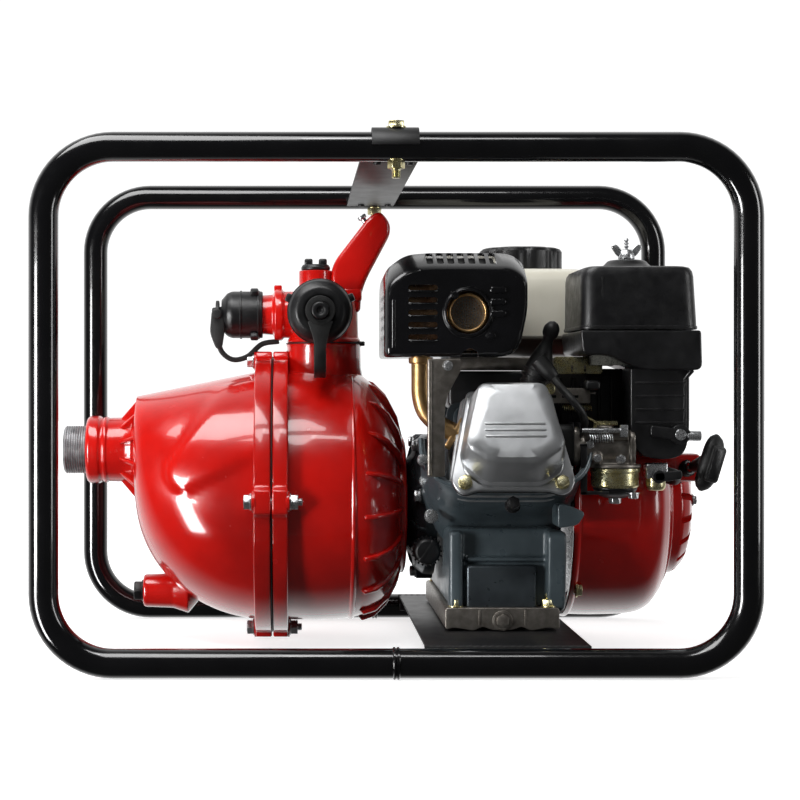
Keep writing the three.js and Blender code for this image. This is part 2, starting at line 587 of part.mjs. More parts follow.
function flywheel() {
  const wheel = turned([[178, 12.3], [178, 88], [210, 88], [210, 76], [190, 70], [190, 30], [210, 26],
    [210, 12.3], [178, 12.3]], shaft, X, 22);
  return wheel;
}

function recoilCover() {
  const post = 9;
  const shell = turned([[RECOIL_RIGHT, 0], [RECOIL_RIGHT, 58], [289, 66], [FAN_RIGHT + GAP, RECOIL_RADIUS],
    [FAN_RIGHT + GAP, RECOIL_RADIUS - 4], [286, 62], [294, 54], [294, post], [226, post], [226, 0]],
    shaft, X, 24);
  const ropeGuide = block([FAN_RIGHT + GAP + 1, 292], [-62, -12], [160, 184]);
  const room = rod(shaft, X, [260, 293], 64, 24);
  const ropeHole = rod(ropeExit, pullLine, [-60, 10], 4, 10);
  return cut(join(shell, ropeGuide.subtract(room)), ropeHole);
}

function starterPulley() {
  return turned([[228, 9.4], [228, 48], [232, 48], [235, 40], [243, 40], [246, 48], [250, 48], [250, 9.4],
    [228, 9.4]], shaft, X, 20);
}

const gripCentre = ropeExit.clone().addScaledVector(pullLine, 26);

function starterGrip() {
  const lean = vector(0.29, 0, 0.96).normalize();
  const bar = turned([[-26, 0], [-24, 8], [-8, 11], [8, 11], [24, 8], [26, 0]], gripCentre, lean, 14);
  const stem = rod(gripCentre, pullLine, [-20, 0], 7, 12);
  return join(bar, stem);
}

addPiece("fan_cover", fanCover(), FINISHES.redEnamel);
addPiece("flywheel", flywheel(), FINISHES.groundSteel);
addPiece("recoil_cover", recoilCover(), FINISHES.redEnamel);
addPiece("starter_pulley", starterPulley(), FINISHES.blackPlastic);
addPiece("starter_grip", starterGrip(), FINISHES.blackRubber);
addPiece("starter_rope", rod(gripCentre, pullLine, [-42, -20 - GAP], 2, 8), FINISHES.rope);

// ---- muffler, its guard and the exhaust pipe ----------------------------------------------------
const GUARD_Y = [-110, -24];
const MUFFLER_OUTLET = [68, 312];
const exhaustX = 29;

function guardOutline(inset) {
  const [left, right, low, high] = [-4 + inset, 118 - inset, 274 + inset, 356 - inset];
  return outline([[left + 8, low], [right - 26, low], [right - 12, low + 4], [right, 316], [right, high - 12],
    [right - 14, high], [left + 12, high], [left, high - 12], [left, low + 10]]);
}

function mufflerGuard() {
  const shell = slab(Y, guardOutline(0), GUARD_Y).subtract(slab(Y, guardOutline(2), [GUARD_Y[0] + 2, 0]));
  const [x, z] = MUFFLER_OUTLET;
  const outlet = rod(vector(x, GUARD_Y[0], z), Y, [-5, 5], 21, 24);
  const louvre = (height) => block([14, 40], [-115, -105], [height - 2, height + 2]);
  const louvres = [-22, -11, 0, 11, 22].map((rise) => louvre(z + rise));
  const stay = block([28, 39], [-131, -128], [169, 264]);
  const tab = block([28, 39], [-131, GUARD_Y[0] + 2], [262, 276]);
  const pipeRoom = rod(vector(exhaustX, -88, 270), Z, [-10, 20], 13, 16);
  return cut(join(shell, stay, tab), outlet, pipeRoom, ...louvres);
}

function muffler() {
  const body = slab(Y, guardOutline(6), [-102, -28], 4);
  const [x, z] = MUFFLER_OUTLET;
  const tail = rod(vector(x, -100, z), Y, [-12, 10], 18.5, 24);
  const room = slab(Y, guardOutline(9), [-98, -32]);
  const inlet = rod(vector(exhaustX, -88, 280), Z, [-10, 10], 7, 14);
  return cut(join(body, tail), room, rod(vector(x, -115, z), Y, [-5, 40], 15.5, 20), inlet);
}

function exhaustPipe() {
  const path = [vector(exhaustX, -88, 279), vector(exhaustX, -89, 255), vector(exhaustX, -90, 232),
    vector(33, -91, 219), vector(42, -92, 210), vector(58.5, -93, 206)];
  return sweep(path, polygon(9, 12));
}

addPiece("muffler", muffler(), FINISHES.heatedSteel);
addPiece("muffler_guard", mufflerGuard(), FINISHES.guardBlack);
addPiece("exhaust_pipe", exhaustPipe(), FINISHES.heatedSteel);

// ---- fuel tank ----------------------------------------------------------------------------------
const TANK_X = [35, 215];
const TANK_Y = [10, 196];
const TANK_Z = [291, 361];
const FILLER = vector(143, 100, TANK_Z[1]);

function fuelTank() {
  const body = slab(Z, roundedRect(TANK_X, TANK_Y, 22), TANK_Z, 8);
  const sump = slab(Z, roundedRect([50, 200], [25, 180], 14), [277, TANK_Z[0] + 2]);
  const room = slab(Z, roundedRect([40, 210], [15, 191], 18), [TANK_Z[0] + 5, TANK_Z[1] - 3], 5);
  const neck = rod(FILLER, Z, [-2, 7], 30, 24);
  return cut(join(body, sump, neck), room, rod(FILLER, Z, [-10, 10], 24, 20));
}

function fuelCap() {
  const lid = turned([[20, 0], [20, 38], [17, 43], [7 + GAP, 43], [7 + GAP, 0]], FILLER, Z, 24);
  return join(lid, rod(FILLER, Z, [-6, 8], 22, 18));
}

addPiece("fuel_tank", fuelTank(), FINISHES.creamEnamel);
addPiece("fuel_cap", fuelCap(), FINISHES.blackPlastic);

// ---- air cleaner and carburettor ----------------------------------------------------------------
const CLEANER_X = [173, 275];
const CLEANER_Y = [-110, 5];
const CLEANER_SPLIT = 297;
const CLEANER_TOP = 356;
const STUD = vector(223, -52, 0);
const inset = ([from, to], by) => [from + by, to - by];

function airCleanerCase() {
  const band = slab(Z, roundedRect(inset(CLEANER_X, -5), inset(CLEANER_Y, -2), 14), [262, CLEANER_SPLIT]);
  const room = slab(Z, roundedRect(inset(CLEANER_X, 0), inset(CLEANER_Y, 3), 10), [266, 300]);
  const elbow = block([217, 270], [-105, -66], [181, 264]);
  const elbowRoom = block([222, 265], [-100, -71], [186, 280]);
  const intake = rod(vector(210, -92, 192), X, [0, 20], 10, 16);
  const stud = rod(STUD, Z, [263, 377], 3, 10);
  return join(cut(join(band, elbow), room, elbowRoom, intake), stud);
}

function airCleanerCover() {
  const shell = slab(Z, roundedRect(CLEANER_X, CLEANER_Y, 12), [CLEANER_SPLIT + GAP, CLEANER_TOP], 5)
    .subtract(slab(Z, roundedRect(inset(CLEANER_X, 3), inset(CLEANER_Y, 3), 10), [280, CLEANER_TOP - 4]));
  const pad = turned([[CLEANER_TOP - 2, 0], [CLEANER_TOP - 2, 23], [CLEANER_TOP + 3, 23], [365.5, 16], [365.5, 0]],
    STUD, Z, 20);
  return join(shell, pad).subtract(rod(STUD, Z, [300, 400], 4, 12));
}

function wingNut() {
  const hub = rod(STUD, Z, [365.8, 373], 8, 14);
  const wings = [-1, 1].map((side) => {
    const wing = new THREE.BoxGeometry(9, 4, 9);
    return solid(wing.rotateY(side * 0.4).translate(STUD.x + side * 9, STUD.y, 374.5));
  });
  return join(hub, ...wings).subtract(rod(STUD, Z, [300, 400], 4, 12));
}

function carburettor() {
  const body = block([168, 216.7], [-108, -78], [176, 206]);
  const insulator = block([149.3, 169], [-103.5, -70], [176, 214]);
  const bowl = rod(vector(205, -93, 0), Z, [149, 177], 21.5, 24);
  const bowlBolt = rod(vector(205, -93, 0), Z, [145, 150], 6, 6);
  const tap = rod(vector(242, -93, 0), Z, [153, 177], 9, 16);
  const pipe = block([215, 243], [-97, -89], [166, 174]);
  const throat = rod(vector(140, -93, 192), X, [0, 90], 9, 16);
  return cut(join(body, insulator, bowl, bowlBolt, tap, pipe), throat);
}

// A flat lever in the XZ plane: a round pivot eye with an arm running from it.
function lever(pivot, reach, rise, thickness, eye, tip) {
  const line = vector(reach, 0, rise).normalize();
  const length = Math.hypot(reach, rise);
  const arm = turned([[0, 0], [0, eye * 0.7], [length - tip, tip], [length, tip * 0.6], [length, 0]],
    pivot.clone().addScaledVector(Y, -thickness / 2), line, 10);
  return join(rod(pivot, Y, [-thickness, 0], eye, 14), arm.intersect(block([-400, 400],
    [pivot.y - thickness, pivot.y], [0, 500])));
}

function throttleLever() {
  const pivot = vector(185, -50, 246);
  const arm = block([188, 194], [-90, -52], [246, 249]);
  return join(rod(pivot, Z, [0, 3], 9, 14), arm, rod(vector(191, -90, 246), Z, [0, 8], 6, 12));
}

addPiece("air_cleaner_case", airCleanerCase(), FINISHES.blackPlastic);
addPiece("air_filter_element", slab(Z, roundedRect([186, 260], [-96, -9], 20), [267, 345])
  .subtract(slab(Z, roundedRect([204, 242], [-78, -27], 10), [260, 350])), FINISHES.filterFoam);
addPiece("air_cleaner_cover", airCleanerCover(), FINISHES.blackPlastic);
addPiece("air_cleaner_wing_nut", wingNut(), FINISHES.zinc);
addPiece("carburettor", carburettor(), FINISHES.zinc);
addPiece("choke_lever", lever(vector(261, -107, 204), -30, -2, 6, 7, 4), FINISHES.blackPlastic);
addPiece("fuel_tap_lever", lever(vector(242, -103, 166), 14, -10, 5, 6, 3), FINISHES.blackPlastic);
addPiece("throttle_lever", throttleLever(), FINISHES.blackPlastic);
addPiece("spark_plug", turned([[-14, 0], [-14, 7], [1, 7], [1, 10], [9, 10], [9, 5], [30, 5], [30, 0]],
  sparkPoint, sparkLine, 14), FINISHES.ceramic);
addPiece("spark_plug_cap", turned([[73, 0], [69, 8], [62, 8], [60, 5], [44, 7], [34, 10], [11, 11],
  [11, 6], [33, 6], [33, 0]], sparkPoint, sparkLine, 14), FINISHES.blackRubber);

function stopSwitch() {
  const at = vector(FAN_RIGHT + GAP, AXIS_Y + 56, AXIS_Z + 57);
  const wing = block([at.x + 7, at.x + 13], [at.y - 6, at.y + 6], [at.z - 2, at.z + 2]);
  return join(rod(at, X, [0, 8], 7, 14), wing);
}
addPiece("stop_switch", stopSwitch(), FINISHES.blackPlastic);

export default pump;
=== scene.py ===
import json
import math

import bmesh
import bpy
from mathutils import Matrix, Vector


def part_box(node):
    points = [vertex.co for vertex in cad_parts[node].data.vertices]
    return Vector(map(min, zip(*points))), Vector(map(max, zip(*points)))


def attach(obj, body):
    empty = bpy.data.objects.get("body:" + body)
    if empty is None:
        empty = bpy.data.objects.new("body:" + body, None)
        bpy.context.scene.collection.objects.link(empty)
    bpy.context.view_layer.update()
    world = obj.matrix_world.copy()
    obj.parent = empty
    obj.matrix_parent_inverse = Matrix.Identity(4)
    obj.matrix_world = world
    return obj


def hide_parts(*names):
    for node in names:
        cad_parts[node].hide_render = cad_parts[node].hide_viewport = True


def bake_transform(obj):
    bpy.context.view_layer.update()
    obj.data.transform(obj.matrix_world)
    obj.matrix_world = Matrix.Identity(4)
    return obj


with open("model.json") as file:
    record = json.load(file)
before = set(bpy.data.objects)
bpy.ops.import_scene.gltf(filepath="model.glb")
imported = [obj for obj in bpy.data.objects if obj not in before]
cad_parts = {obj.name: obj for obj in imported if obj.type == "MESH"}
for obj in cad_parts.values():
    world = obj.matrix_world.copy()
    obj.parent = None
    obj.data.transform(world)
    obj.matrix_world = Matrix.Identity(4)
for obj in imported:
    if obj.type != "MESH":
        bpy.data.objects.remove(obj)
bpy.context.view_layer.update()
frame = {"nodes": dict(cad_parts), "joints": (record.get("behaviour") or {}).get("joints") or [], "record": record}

MM = 0.001
X = Vector((1, 0, 0))
Y = Vector((0, 1, 0))
Z = Vector((0, 0, 1))
TAU = 2 * math.pi
STATIC = "frame_body"


class Span:
    """A CAD node's box in millimetres: x, y and z hold (low, high), and middle is its centre."""

    def __init__(self, node):
        low, high = (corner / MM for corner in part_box(node))
        self.x, self.y, self.z = zip(low, high)
        self.middle = (low + high) / 2


# ---- shape helpers: each returns a bmesh in millimetres ------------------------------------------
def merge(*shapes):
    """One bmesh that holds all the shapes; the shapes themselves are used up."""
    whole = bmesh.new()
    for shape in shapes:
        mesh = bpy.data.meshes.new("part")
        shape.to_mesh(mesh)
        whole.from_mesh(mesh)
        bpy.data.meshes.remove(mesh)
        shape.free()
    return whole


def place(shape, matrix):
    bmesh.ops.transform(shape, matrix=matrix, verts=shape.verts)
    return shape


def moved(shape, x):
    return place(shape, Matrix.Translation((x, 0, 0)))


def facing(direction):
    """The turn that takes +Z to the direction."""
    return Z.rotation_difference(Vector(direction)).to_matrix().to_4x4()


def eased(points, radius, steps=4, closed=True):
    """The outline with each corner rounded; radius is one number or one for each point."""
    points = [Vector(point) for point in points]
    count = len(points)
    result = []
    for i, point in enumerate(points):
        size = radius[i] if isinstance(radius, (list, tuple)) else radius
        if size <= 0 or (not closed and i in (0, count - 1)):
            result.append(tuple(point))
            continue
        before = points[i - 1] - point
        after = points[(i + 1) % count] - point
        reach_in = before.normalized() * min(size, before.length * 0.48)
        reach_out = after.normalized() * min(size, after.length * 0.48)
        for step in range(steps + 1):
            t = step / steps
            result.append(tuple(point + reach_in * (1 - t) ** 2 + reach_out * t ** 2))
    return result


def turned(profile, origin=(0, 0, 0), direction=Z, sides=64, closed=False):
    """A profile of (distance along, radius) points turned about a line."""
    shape = bmesh.new()
    rings = []
    for along, radius in profile:
        corners = 1 if radius < 1e-6 else sides
        ring = []
        for k in range(corners):
            angle = TAU * (k + 0.5) / sides
            ring.append(shape.verts.new((radius * math.cos(angle), radius * math.sin(angle), along)))
        rings.append(ring)
    pairs = list(zip(rings, rings[1:]))
    if closed:
        pairs.append((rings[-1], rings[0]))
    for low, high in pairs:
        for k in range(sides):
            corners = [low[k % len(low)], low[(k + 1) % len(low)],
                       high[(k + 1) % len(high)], high[k % len(high)]]
            corners = list(dict.fromkeys(corners))
            if len(corners) > 2:
                shape.faces.new(corners)
    bmesh.ops.recalc_face_normals(shape, faces=shape.faces)
    return place(shape, Matrix.Translation(origin) @ facing(direction))


def rod(origin, direction, low, high, radius, sides=32, edge=0.0):
    """A solid cylinder whose rims are rounded by edge."""
    profile = [(low, 0), (low, radius), (high, radius), (high, 0)]
    if edge:
        profile = eased(profile, edge, 3, closed=False)
    return turned(profile, origin, direction, sides)


def pipe(origin, direction, low, high, inner, outer, sides=48, edge=0.5):
    """A tube with rounded rims."""
    profile = eased([(low, inner), (low, outer), (high, outer), (high, inner)], edge, 3)
    return turned(profile, origin, direction, sides, closed=True)


def soften(shape, width, segments=2, angle=30):
    """Bevels every edge that turns more than the angle."""
    if width <= 0:
        return shape
    shape.normal_update()
    sharp = [edge for edge in shape.edges
             if len(edge.link_faces) == 2 and edge.calc_face_angle(0) > math.radians(angle)]
    bmesh.ops.bevel(shape, geom=sharp, offset=width, segments=segments, profile=0.5,
                    affect="EDGES", clamp_overlap=True)
    return shape


def spot(axis, level, u, v):
    """The point (u, v) of an outline that lies across the axis, read as (Y, Z), (X, Z) or (X, Y)."""
    return {0: (level, u, v), 1: (u, level, v), 2: (u, v, level)}[axis.to_tuple().index(1)]


def slab(outline, low, high, axis=Z, edge=0.8, segments=2):
    """A flat outline pushed along an axis, with its edges rounded."""
    shape = bmesh.new()
    rims = []
    for level in (low, high):
        rims.append([shape.verts.new(spot(axis, level, u, v)) for u, v in outline])
    for rim in rims:
        shape.faces.new(rim)
    for k in range(len(outline)):
        after = (k + 1) % len(outline)
        shape.faces.new((rims[0][k], rims[0][after], rims[1][after], rims[1][k]))
    bmesh.ops.recalc_face_normals(shape, faces=shape.faces)
    return soften(shape, edge, segments)


def box(x, y, z, edge=0.8, segments=2):
    """A block given by its (low, high) along each axis."""
    corners = [(x[0], y[0]), (x[1], y[0]), (x[1], y[1]), (x[0], y[1])]
    return slab(corners, *z, Z, edge, segments)


def rounded(u, v, radius, steps=6):
    """A rectangle outline with round corners."""
    corners = [(u[1] - radius, v[0] + radius), (u[1] - radius, v[1] - radius),
               (u[0] + radius, v[1] - radius), (u[0] + radius, v[0] + radius)]
    outline = []
    for corner, (cu, cv) in enumerate(corners):
        for step in range(steps + 1):
            angle = math.pi / 2 * (corner - 1 + step / steps)
            outline.append((cu + radius * math.cos(angle), cv + radius * math.sin(angle)))
    return outline


def loft(outlines, levels, axis=Z):
    """Outlines with equal point counts, skinned from level to level."""
    shape = bmesh.new()
    rims = []
    for outline, level in zip(outlines, levels):
        rims.append([shape.verts.new(spot(axis, level, u, v)) for u, v in outline])
    for low, high in zip(rims, rims[1:]):
        for k in range(len(low)):
            after = (k + 1) % len(low)
            shape.faces.new((low[k], low[after], high[after], high[k]))
    shape.faces.new(rims[0])
    shape.faces.new(rims[-1])
    bmesh.ops.recalc_face_normals(shape, faces=shape.faces)
    return shape


def sweep(path, section, closed=False, up=None):
    """A section of (u, v) points carried along a path without twisting."""
    path = [Vector(point) for point in path]
    count = len(path)
    shape = bmesh.new()
    rims = []
    side = None
    tangent = None
    for i, point in enumerate(path):
        behind = path[i - 1] if closed or i > 0 else point
        ahead = path[(i + 1) % count] if closed or i < count - 1 else point
        heading = (ahead - behind).normalized()
        if side is None:
            guide = Vector(up) if up else (Z if abs(heading.z) < 0.9 else X)
            side = heading.cross(guide).normalized()
        else:
            side = tangent.rotation_difference(heading) @ side
        tangent = heading
        other = heading.cross(side).normalized()
        rims.append([shape.verts.new(point + side * u + other * v) for u, v in section])
    pairs = list(zip(rims, rims[1:]))
    if closed:
        pairs.append((rims[-1], rims[0]))
    for low, high in pairs:
        for k in range(len(section)):
            after = (k + 1) % len(section)
            shape.faces.new((low[k], low[after], high[after], high[k]))
    if not closed:
        shape.faces.new(rims[0])
        shape.faces.new(rims[-1])
    bmesh.ops.recalc_face_normals(shape, faces=shape.faces)
    return shape


def circle(radius, sides=16):
    angles = [TAU * k / sides for k in range(sides)]
    return [(radius * math.cos(angle), radius * math.sin(angle)) for angle in angles]


def curve_through(points, steps=8):
    """A smooth path through the points (Catmull-Rom)."""
    points = [Vector(point) for point in points]
    ends = [points[0] * 2 - points[1]] + points + [points[-1] * 2 - points[-2]]
    path = []
    for a, b, c, d in zip(ends, ends[1:], ends[2:], ends[3:]):
        for step in range(steps):
            t = step / steps
            path.append(0.5 * (2 * b + (c - a) * t + (2 * a - 5 * b + 4 * c - d) * t ** 2
                               + (3 * b - a - 3 * c + d) * t ** 3))
    path.append(points[-1])
    return path


def modified(shape, *settings):
    """The shape after Blender modifiers, each given as (kind, {property: value})."""
    mesh = bpy.data.meshes.new("part")
    shape.to_mesh(mesh)
    shape.free()
    holder = bpy.data.objects.new("part", mesh)
    bpy.context.scene.collection.objects.link(holder)
    for kind, values in settings:
        modifier = holder.modifiers.new(kind, kind)
        for key, value in values.items():
            setattr(modifier, key, value)
    graph = bpy.context.evaluated_depsgraph_get()
    result = bmesh.new()
    result.from_mesh(holder.evaluated_get(graph).to_mesh())
    bpy.data.objects.remove(holder)
    bpy.data.meshes.remove(mesh)
    return result


def cut(shape, *tools):
    """The shape with the tools taken out of it."""
    for tool in tools:
        mesh = bpy.data.meshes.new("tool")
        tool.to_mesh(mesh)
        tool.free()
        holder = bpy.data.objects.new("tool", mesh)
        bpy.context.scene.collection.objects.link(holder)
        settings = {"operation": "DIFFERENCE", "object": holder, "solver": "EXACT"}
        shape = modified(shape, ("BOOLEAN", settings))
        bpy.data.objects.remove(holder)
        bpy.data.meshes.remove(mesh)
    return shape


def cast(shape, grain, smoothing=4):
    """Melts overlapping parts into one casting with soft inner corners."""
    return modified(
        shape,
        ("REMESH", {"mode": "VOXEL", "voxel_size": grain}),
        ("SMOOTH", {"factor": 0.5, "iterations": smoothing}),
    )


def piece(name, look, body, *shapes, stands_for=(), crease=32):
    """Makes the piece that is seen, on its CAD body, in place of the CAD nodes it stands for.

    A piece whose body is None is attached to no body.
    """
    shape = merge(*shapes)
    bmesh.ops.remove_doubles(shape, verts=shape.verts, dist=0.001)
    shape.normal_update()
    for edge in shape.edges:
        edge.smooth = len(edge.link_faces) == 2 and edge.calc_face_angle(0) < math.radians(crease)
    for face in shape.faces:
        face.smooth = True
    bmesh.ops.scale(shape, vec=(MM, MM, MM), verts=shape.verts)
    mesh = bpy.data.meshes.new(name)
    shape.to_mesh(mesh)
    shape.free()
    mesh.materials.append(LOOKS[look])
    made = bpy.data.objects.new(name, mesh)
    bpy.context.scene.collection.objects.link(made)
    if body:
        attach(made, body)
    if stands_for:
        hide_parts(*stands_for)
    return made


# ---- materials -----------------------------------------------------------------------------------
class Recipe:
    """A material's node tree, built by short calls that return output sockets."""

    def __init__(self, name):
        self.material = bpy.data.materials.new(name)
        self.material.use_nodes = True
        self.tree = self.material.node_tree
        self.tree.nodes.clear()
        self.place = self.add("ShaderNodeTexCoord").outputs["Object"]

    def add(self, kind, settings=None, **inputs):
        node = self.tree.nodes.new(kind)
        for key, value in (settings or {}).items():
            setattr(node, key, value)
        for key, value in inputs.items():
            self.feed(node.inputs[key.replace("_", " ")], value)
        return node

    def feed(self, socket, value):
        if isinstance(value, bpy.types.NodeSocket):
            self.tree.links.new(value, socket)
        else:
            socket.default_value = value

    def noise(self, size, detail=4.0, stretch=(1, 1, 1)):
        """Noise with features about size millimetres across, longer along stretched axes."""
        spread = self.add("ShaderNodeMapping", Vector=self.place, Scale=[1 / s for s in stretch])
        return self.add("ShaderNodeTexNoise", Vector=spread.outputs[0], Scale=1 / (size * MM),
                        Detail=detail).outputs["Fac"]

    def grains(self, size):
        cells = self.add("ShaderNodeTexVoronoi", Vector=self.place, Scale=1 / (size * MM))
        return cells.outputs["Distance"]

    def ramp(self, value, low, high, to_low=0.0, to_high=1.0):
        node = self.add("ShaderNodeMapRange", {"clamp": True}, Value=value)
        for index, number in enumerate((low, high, to_low, to_high), start=1):
            self.feed(node.inputs[index], number)
        return node.outputs[0]

    def times(self, a, b):
        node = self.add("ShaderNodeMath", {"operation": "MULTIPLY"})
        self.feed(node.inputs[0], a)
        self.feed(node.inputs[1], b)
        return node.outputs[0]

    def mix(self, share, a, b):
        node = self.add("ShaderNodeMix", {"data_type": "RGBA"})
        self.feed(node.inputs[0], share)
        self.feed(node.inputs[6], (*a, 1) if isinstance(a, tuple) else a)
        self.feed(node.inputs[7], (*b, 1) if isinstance(b, tuple) else b)
        return node.outputs[2]

    def edges(self, radius=1.0):
        """1 along sharp edges, 0 on flats."""
        rounded_off = self.add("ShaderNodeBevel", {"samples": 3}, Radius=radius * MM)
        true_normal = self.add("ShaderNodeNewGeometry")
        match = self.add("ShaderNodeVectorMath", {"operation": "DOT_PRODUCT"})
        self.feed(match.inputs[0], rounded_off.outputs[0])
        self.feed(match.inputs[1], true_normal.outputs["Normal"])
        return self.ramp(match.outputs["Value"], 0.97, 0.88)

    def bump(self, height, depth):
        return self.add("ShaderNodeBump", Height=height, Distance=depth * MM, Strength=1.0).outputs[0]

    def finish(self, colour, roughness, metallic=0.0, normal=None, **extra):
        shader = self.add("ShaderNodeBsdfPrincipled", Base_Color=colour, Roughness=roughness,
                          Metallic=metallic)
        if normal is not None:
            self.feed(shader.inputs["Normal"], normal)
        for key, value in extra.items():
            self.feed(shader.inputs[key.replace("_", " ")], value)
        output = self.add("ShaderNodeOutputMaterial")
        self.tree.links.new(shader.outputs[0], output.inputs["Surface"])
        return self.material


def paint(name, colour, darker, worn_to, roughness, coat):
    """Sprayed paint: faint orange peel, slight cloudiness and wear on the edges."""
    r = Recipe(name)
    cloud = r.noise(45, 3)
    base = r.mix(r.ramp(cloud, 0.3, 0.7), darker, colour)
    chips = r.times(r.edges(0.7), r.ramp(r.noise(5), 0.5, 0.62))
    base = r.mix(r.times(chips, 0.55), base, worn_to)
    smear = r.ramp(r.noise(16, 6), 0.35, 0.75, roughness, roughness + 0.08)
    normal = r.bump(r.noise(1.6, 2), 0.015)
    return r.finish(base, smear, 0.0, normal, Coat_Weight=coat, Coat_Roughness=0.03)


def moulded(name, colour, roughness, grain_size=0.5, depth=0.04, scuff=(0.1, 0.1, 0.1)):
    """Moulded plastic or rubber with a fine pebbled grain, and paler scuffs on the edges."""
    r = Recipe(name)
    paler = tuple(min(c * 1.6 + 0.002, 1) for c in colour)
    base = r.mix(r.ramp(r.noise(22, 5), 0.35, 0.7), colour, paler)
    base = r.mix(r.times(r.edges(0.6), r.ramp(r.noise(3), 0.45, 0.7, 0, 0.5)), base, scuff)
    sheen = r.ramp(r.noise(9, 5), 0.3, 0.75, roughness - 0.06, roughness + 0.12)
    normal = r.bump(r.grains(grain_size), depth)
    return r.finish(base, sheen, 0.0, normal)


def casting(name, colour, darker, roughness, metallic, bright, grain_size=0.8, depth=0.1):
    """Cast metal: sandy grain, dirt in patches and brighter rubbed edges."""
    r = Recipe(name)
    base = r.mix(r.ramp(r.noise(28, 3), 0.32, 0.68), darker, colour)
    base = r.mix(r.times(r.edges(0.9), r.ramp(r.noise(4), 0.35, 0.65, 0.1, 0.7)), base, bright)
    rough = r.ramp(r.noise(12, 3), 0.3, 0.7, roughness - 0.05, roughness + 0.1)
    normal = r.bump(r.noise(grain_size, 2), depth)
    return r.finish(base, rough, metallic, normal)


def plated(name, colour, tint, roughness):
    """Zinc, bronze or bare steel: mottled metal with fine scratches."""
    r = Recipe(name)
    base = r.mix(r.ramp(r.noise(7, 5), 0.35, 0.68), colour, tint)
    scratches = r.noise(0.7, 2, (1, 14, 1))
    rough = r.ramp(scratches, 0.3, 0.7, roughness - 0.08, roughness + 0.16)
    normal = r.bump(r.noise(1.2, 4), 0.03)
    return r.finish(base, rough, 0.95, normal)


def heated(name):
    """Steel that has been hot: straw, bronze and a little violet, in bands."""
    r = Recipe(name)
    base = r.mix(r.ramp(r.noise(18, 3), 0.35, 0.62), (0.34, 0.17, 0.09), (0.55, 0.36, 0.2))
    base = r.mix(r.ramp(r.noise(9, 5), 0.5, 0.75, 0, 0.6), base, (0.12, 0.07, 0.1))
    rough = r.ramp(r.noise(3, 6), 0.3, 0.75, 0.2, 0.5)
    return r.finish(base, rough, 0.95, r.bump(r.noise(1.1, 4), 0.05))


def porous(name):
    """Foam: open cells."""
    r = Recipe(name)
    cells = r.grains(1.4)
    base = r.mix(r.ramp(cells, 0.1, 0.5), (0.012, 0.012, 0.011), (0.07, 0.07, 0.06))
    return r.finish(base, r.ramp(cells, 0, 1, 0.85, 1.0), 0.0, r.bump(cells, 0.6))


def braided(name):
    """Cord: diagonal strands."""
    r = Recipe(name)
    strands = r.add("ShaderNodeTexWave", {"bands_direction": "DIAGONAL"}, Vector=r.place,
                    Scale=1 / (4 * MM), Distortion=0.6).outputs["Fac"]
    base = r.mix(strands, (0.16, 0.15, 0.13), (0.5, 0.48, 0.43))
    return r.finish(base, r.ramp(strands, 0, 1, 0.9, 0.75), 0.0, r.bump(strands, 0.3))


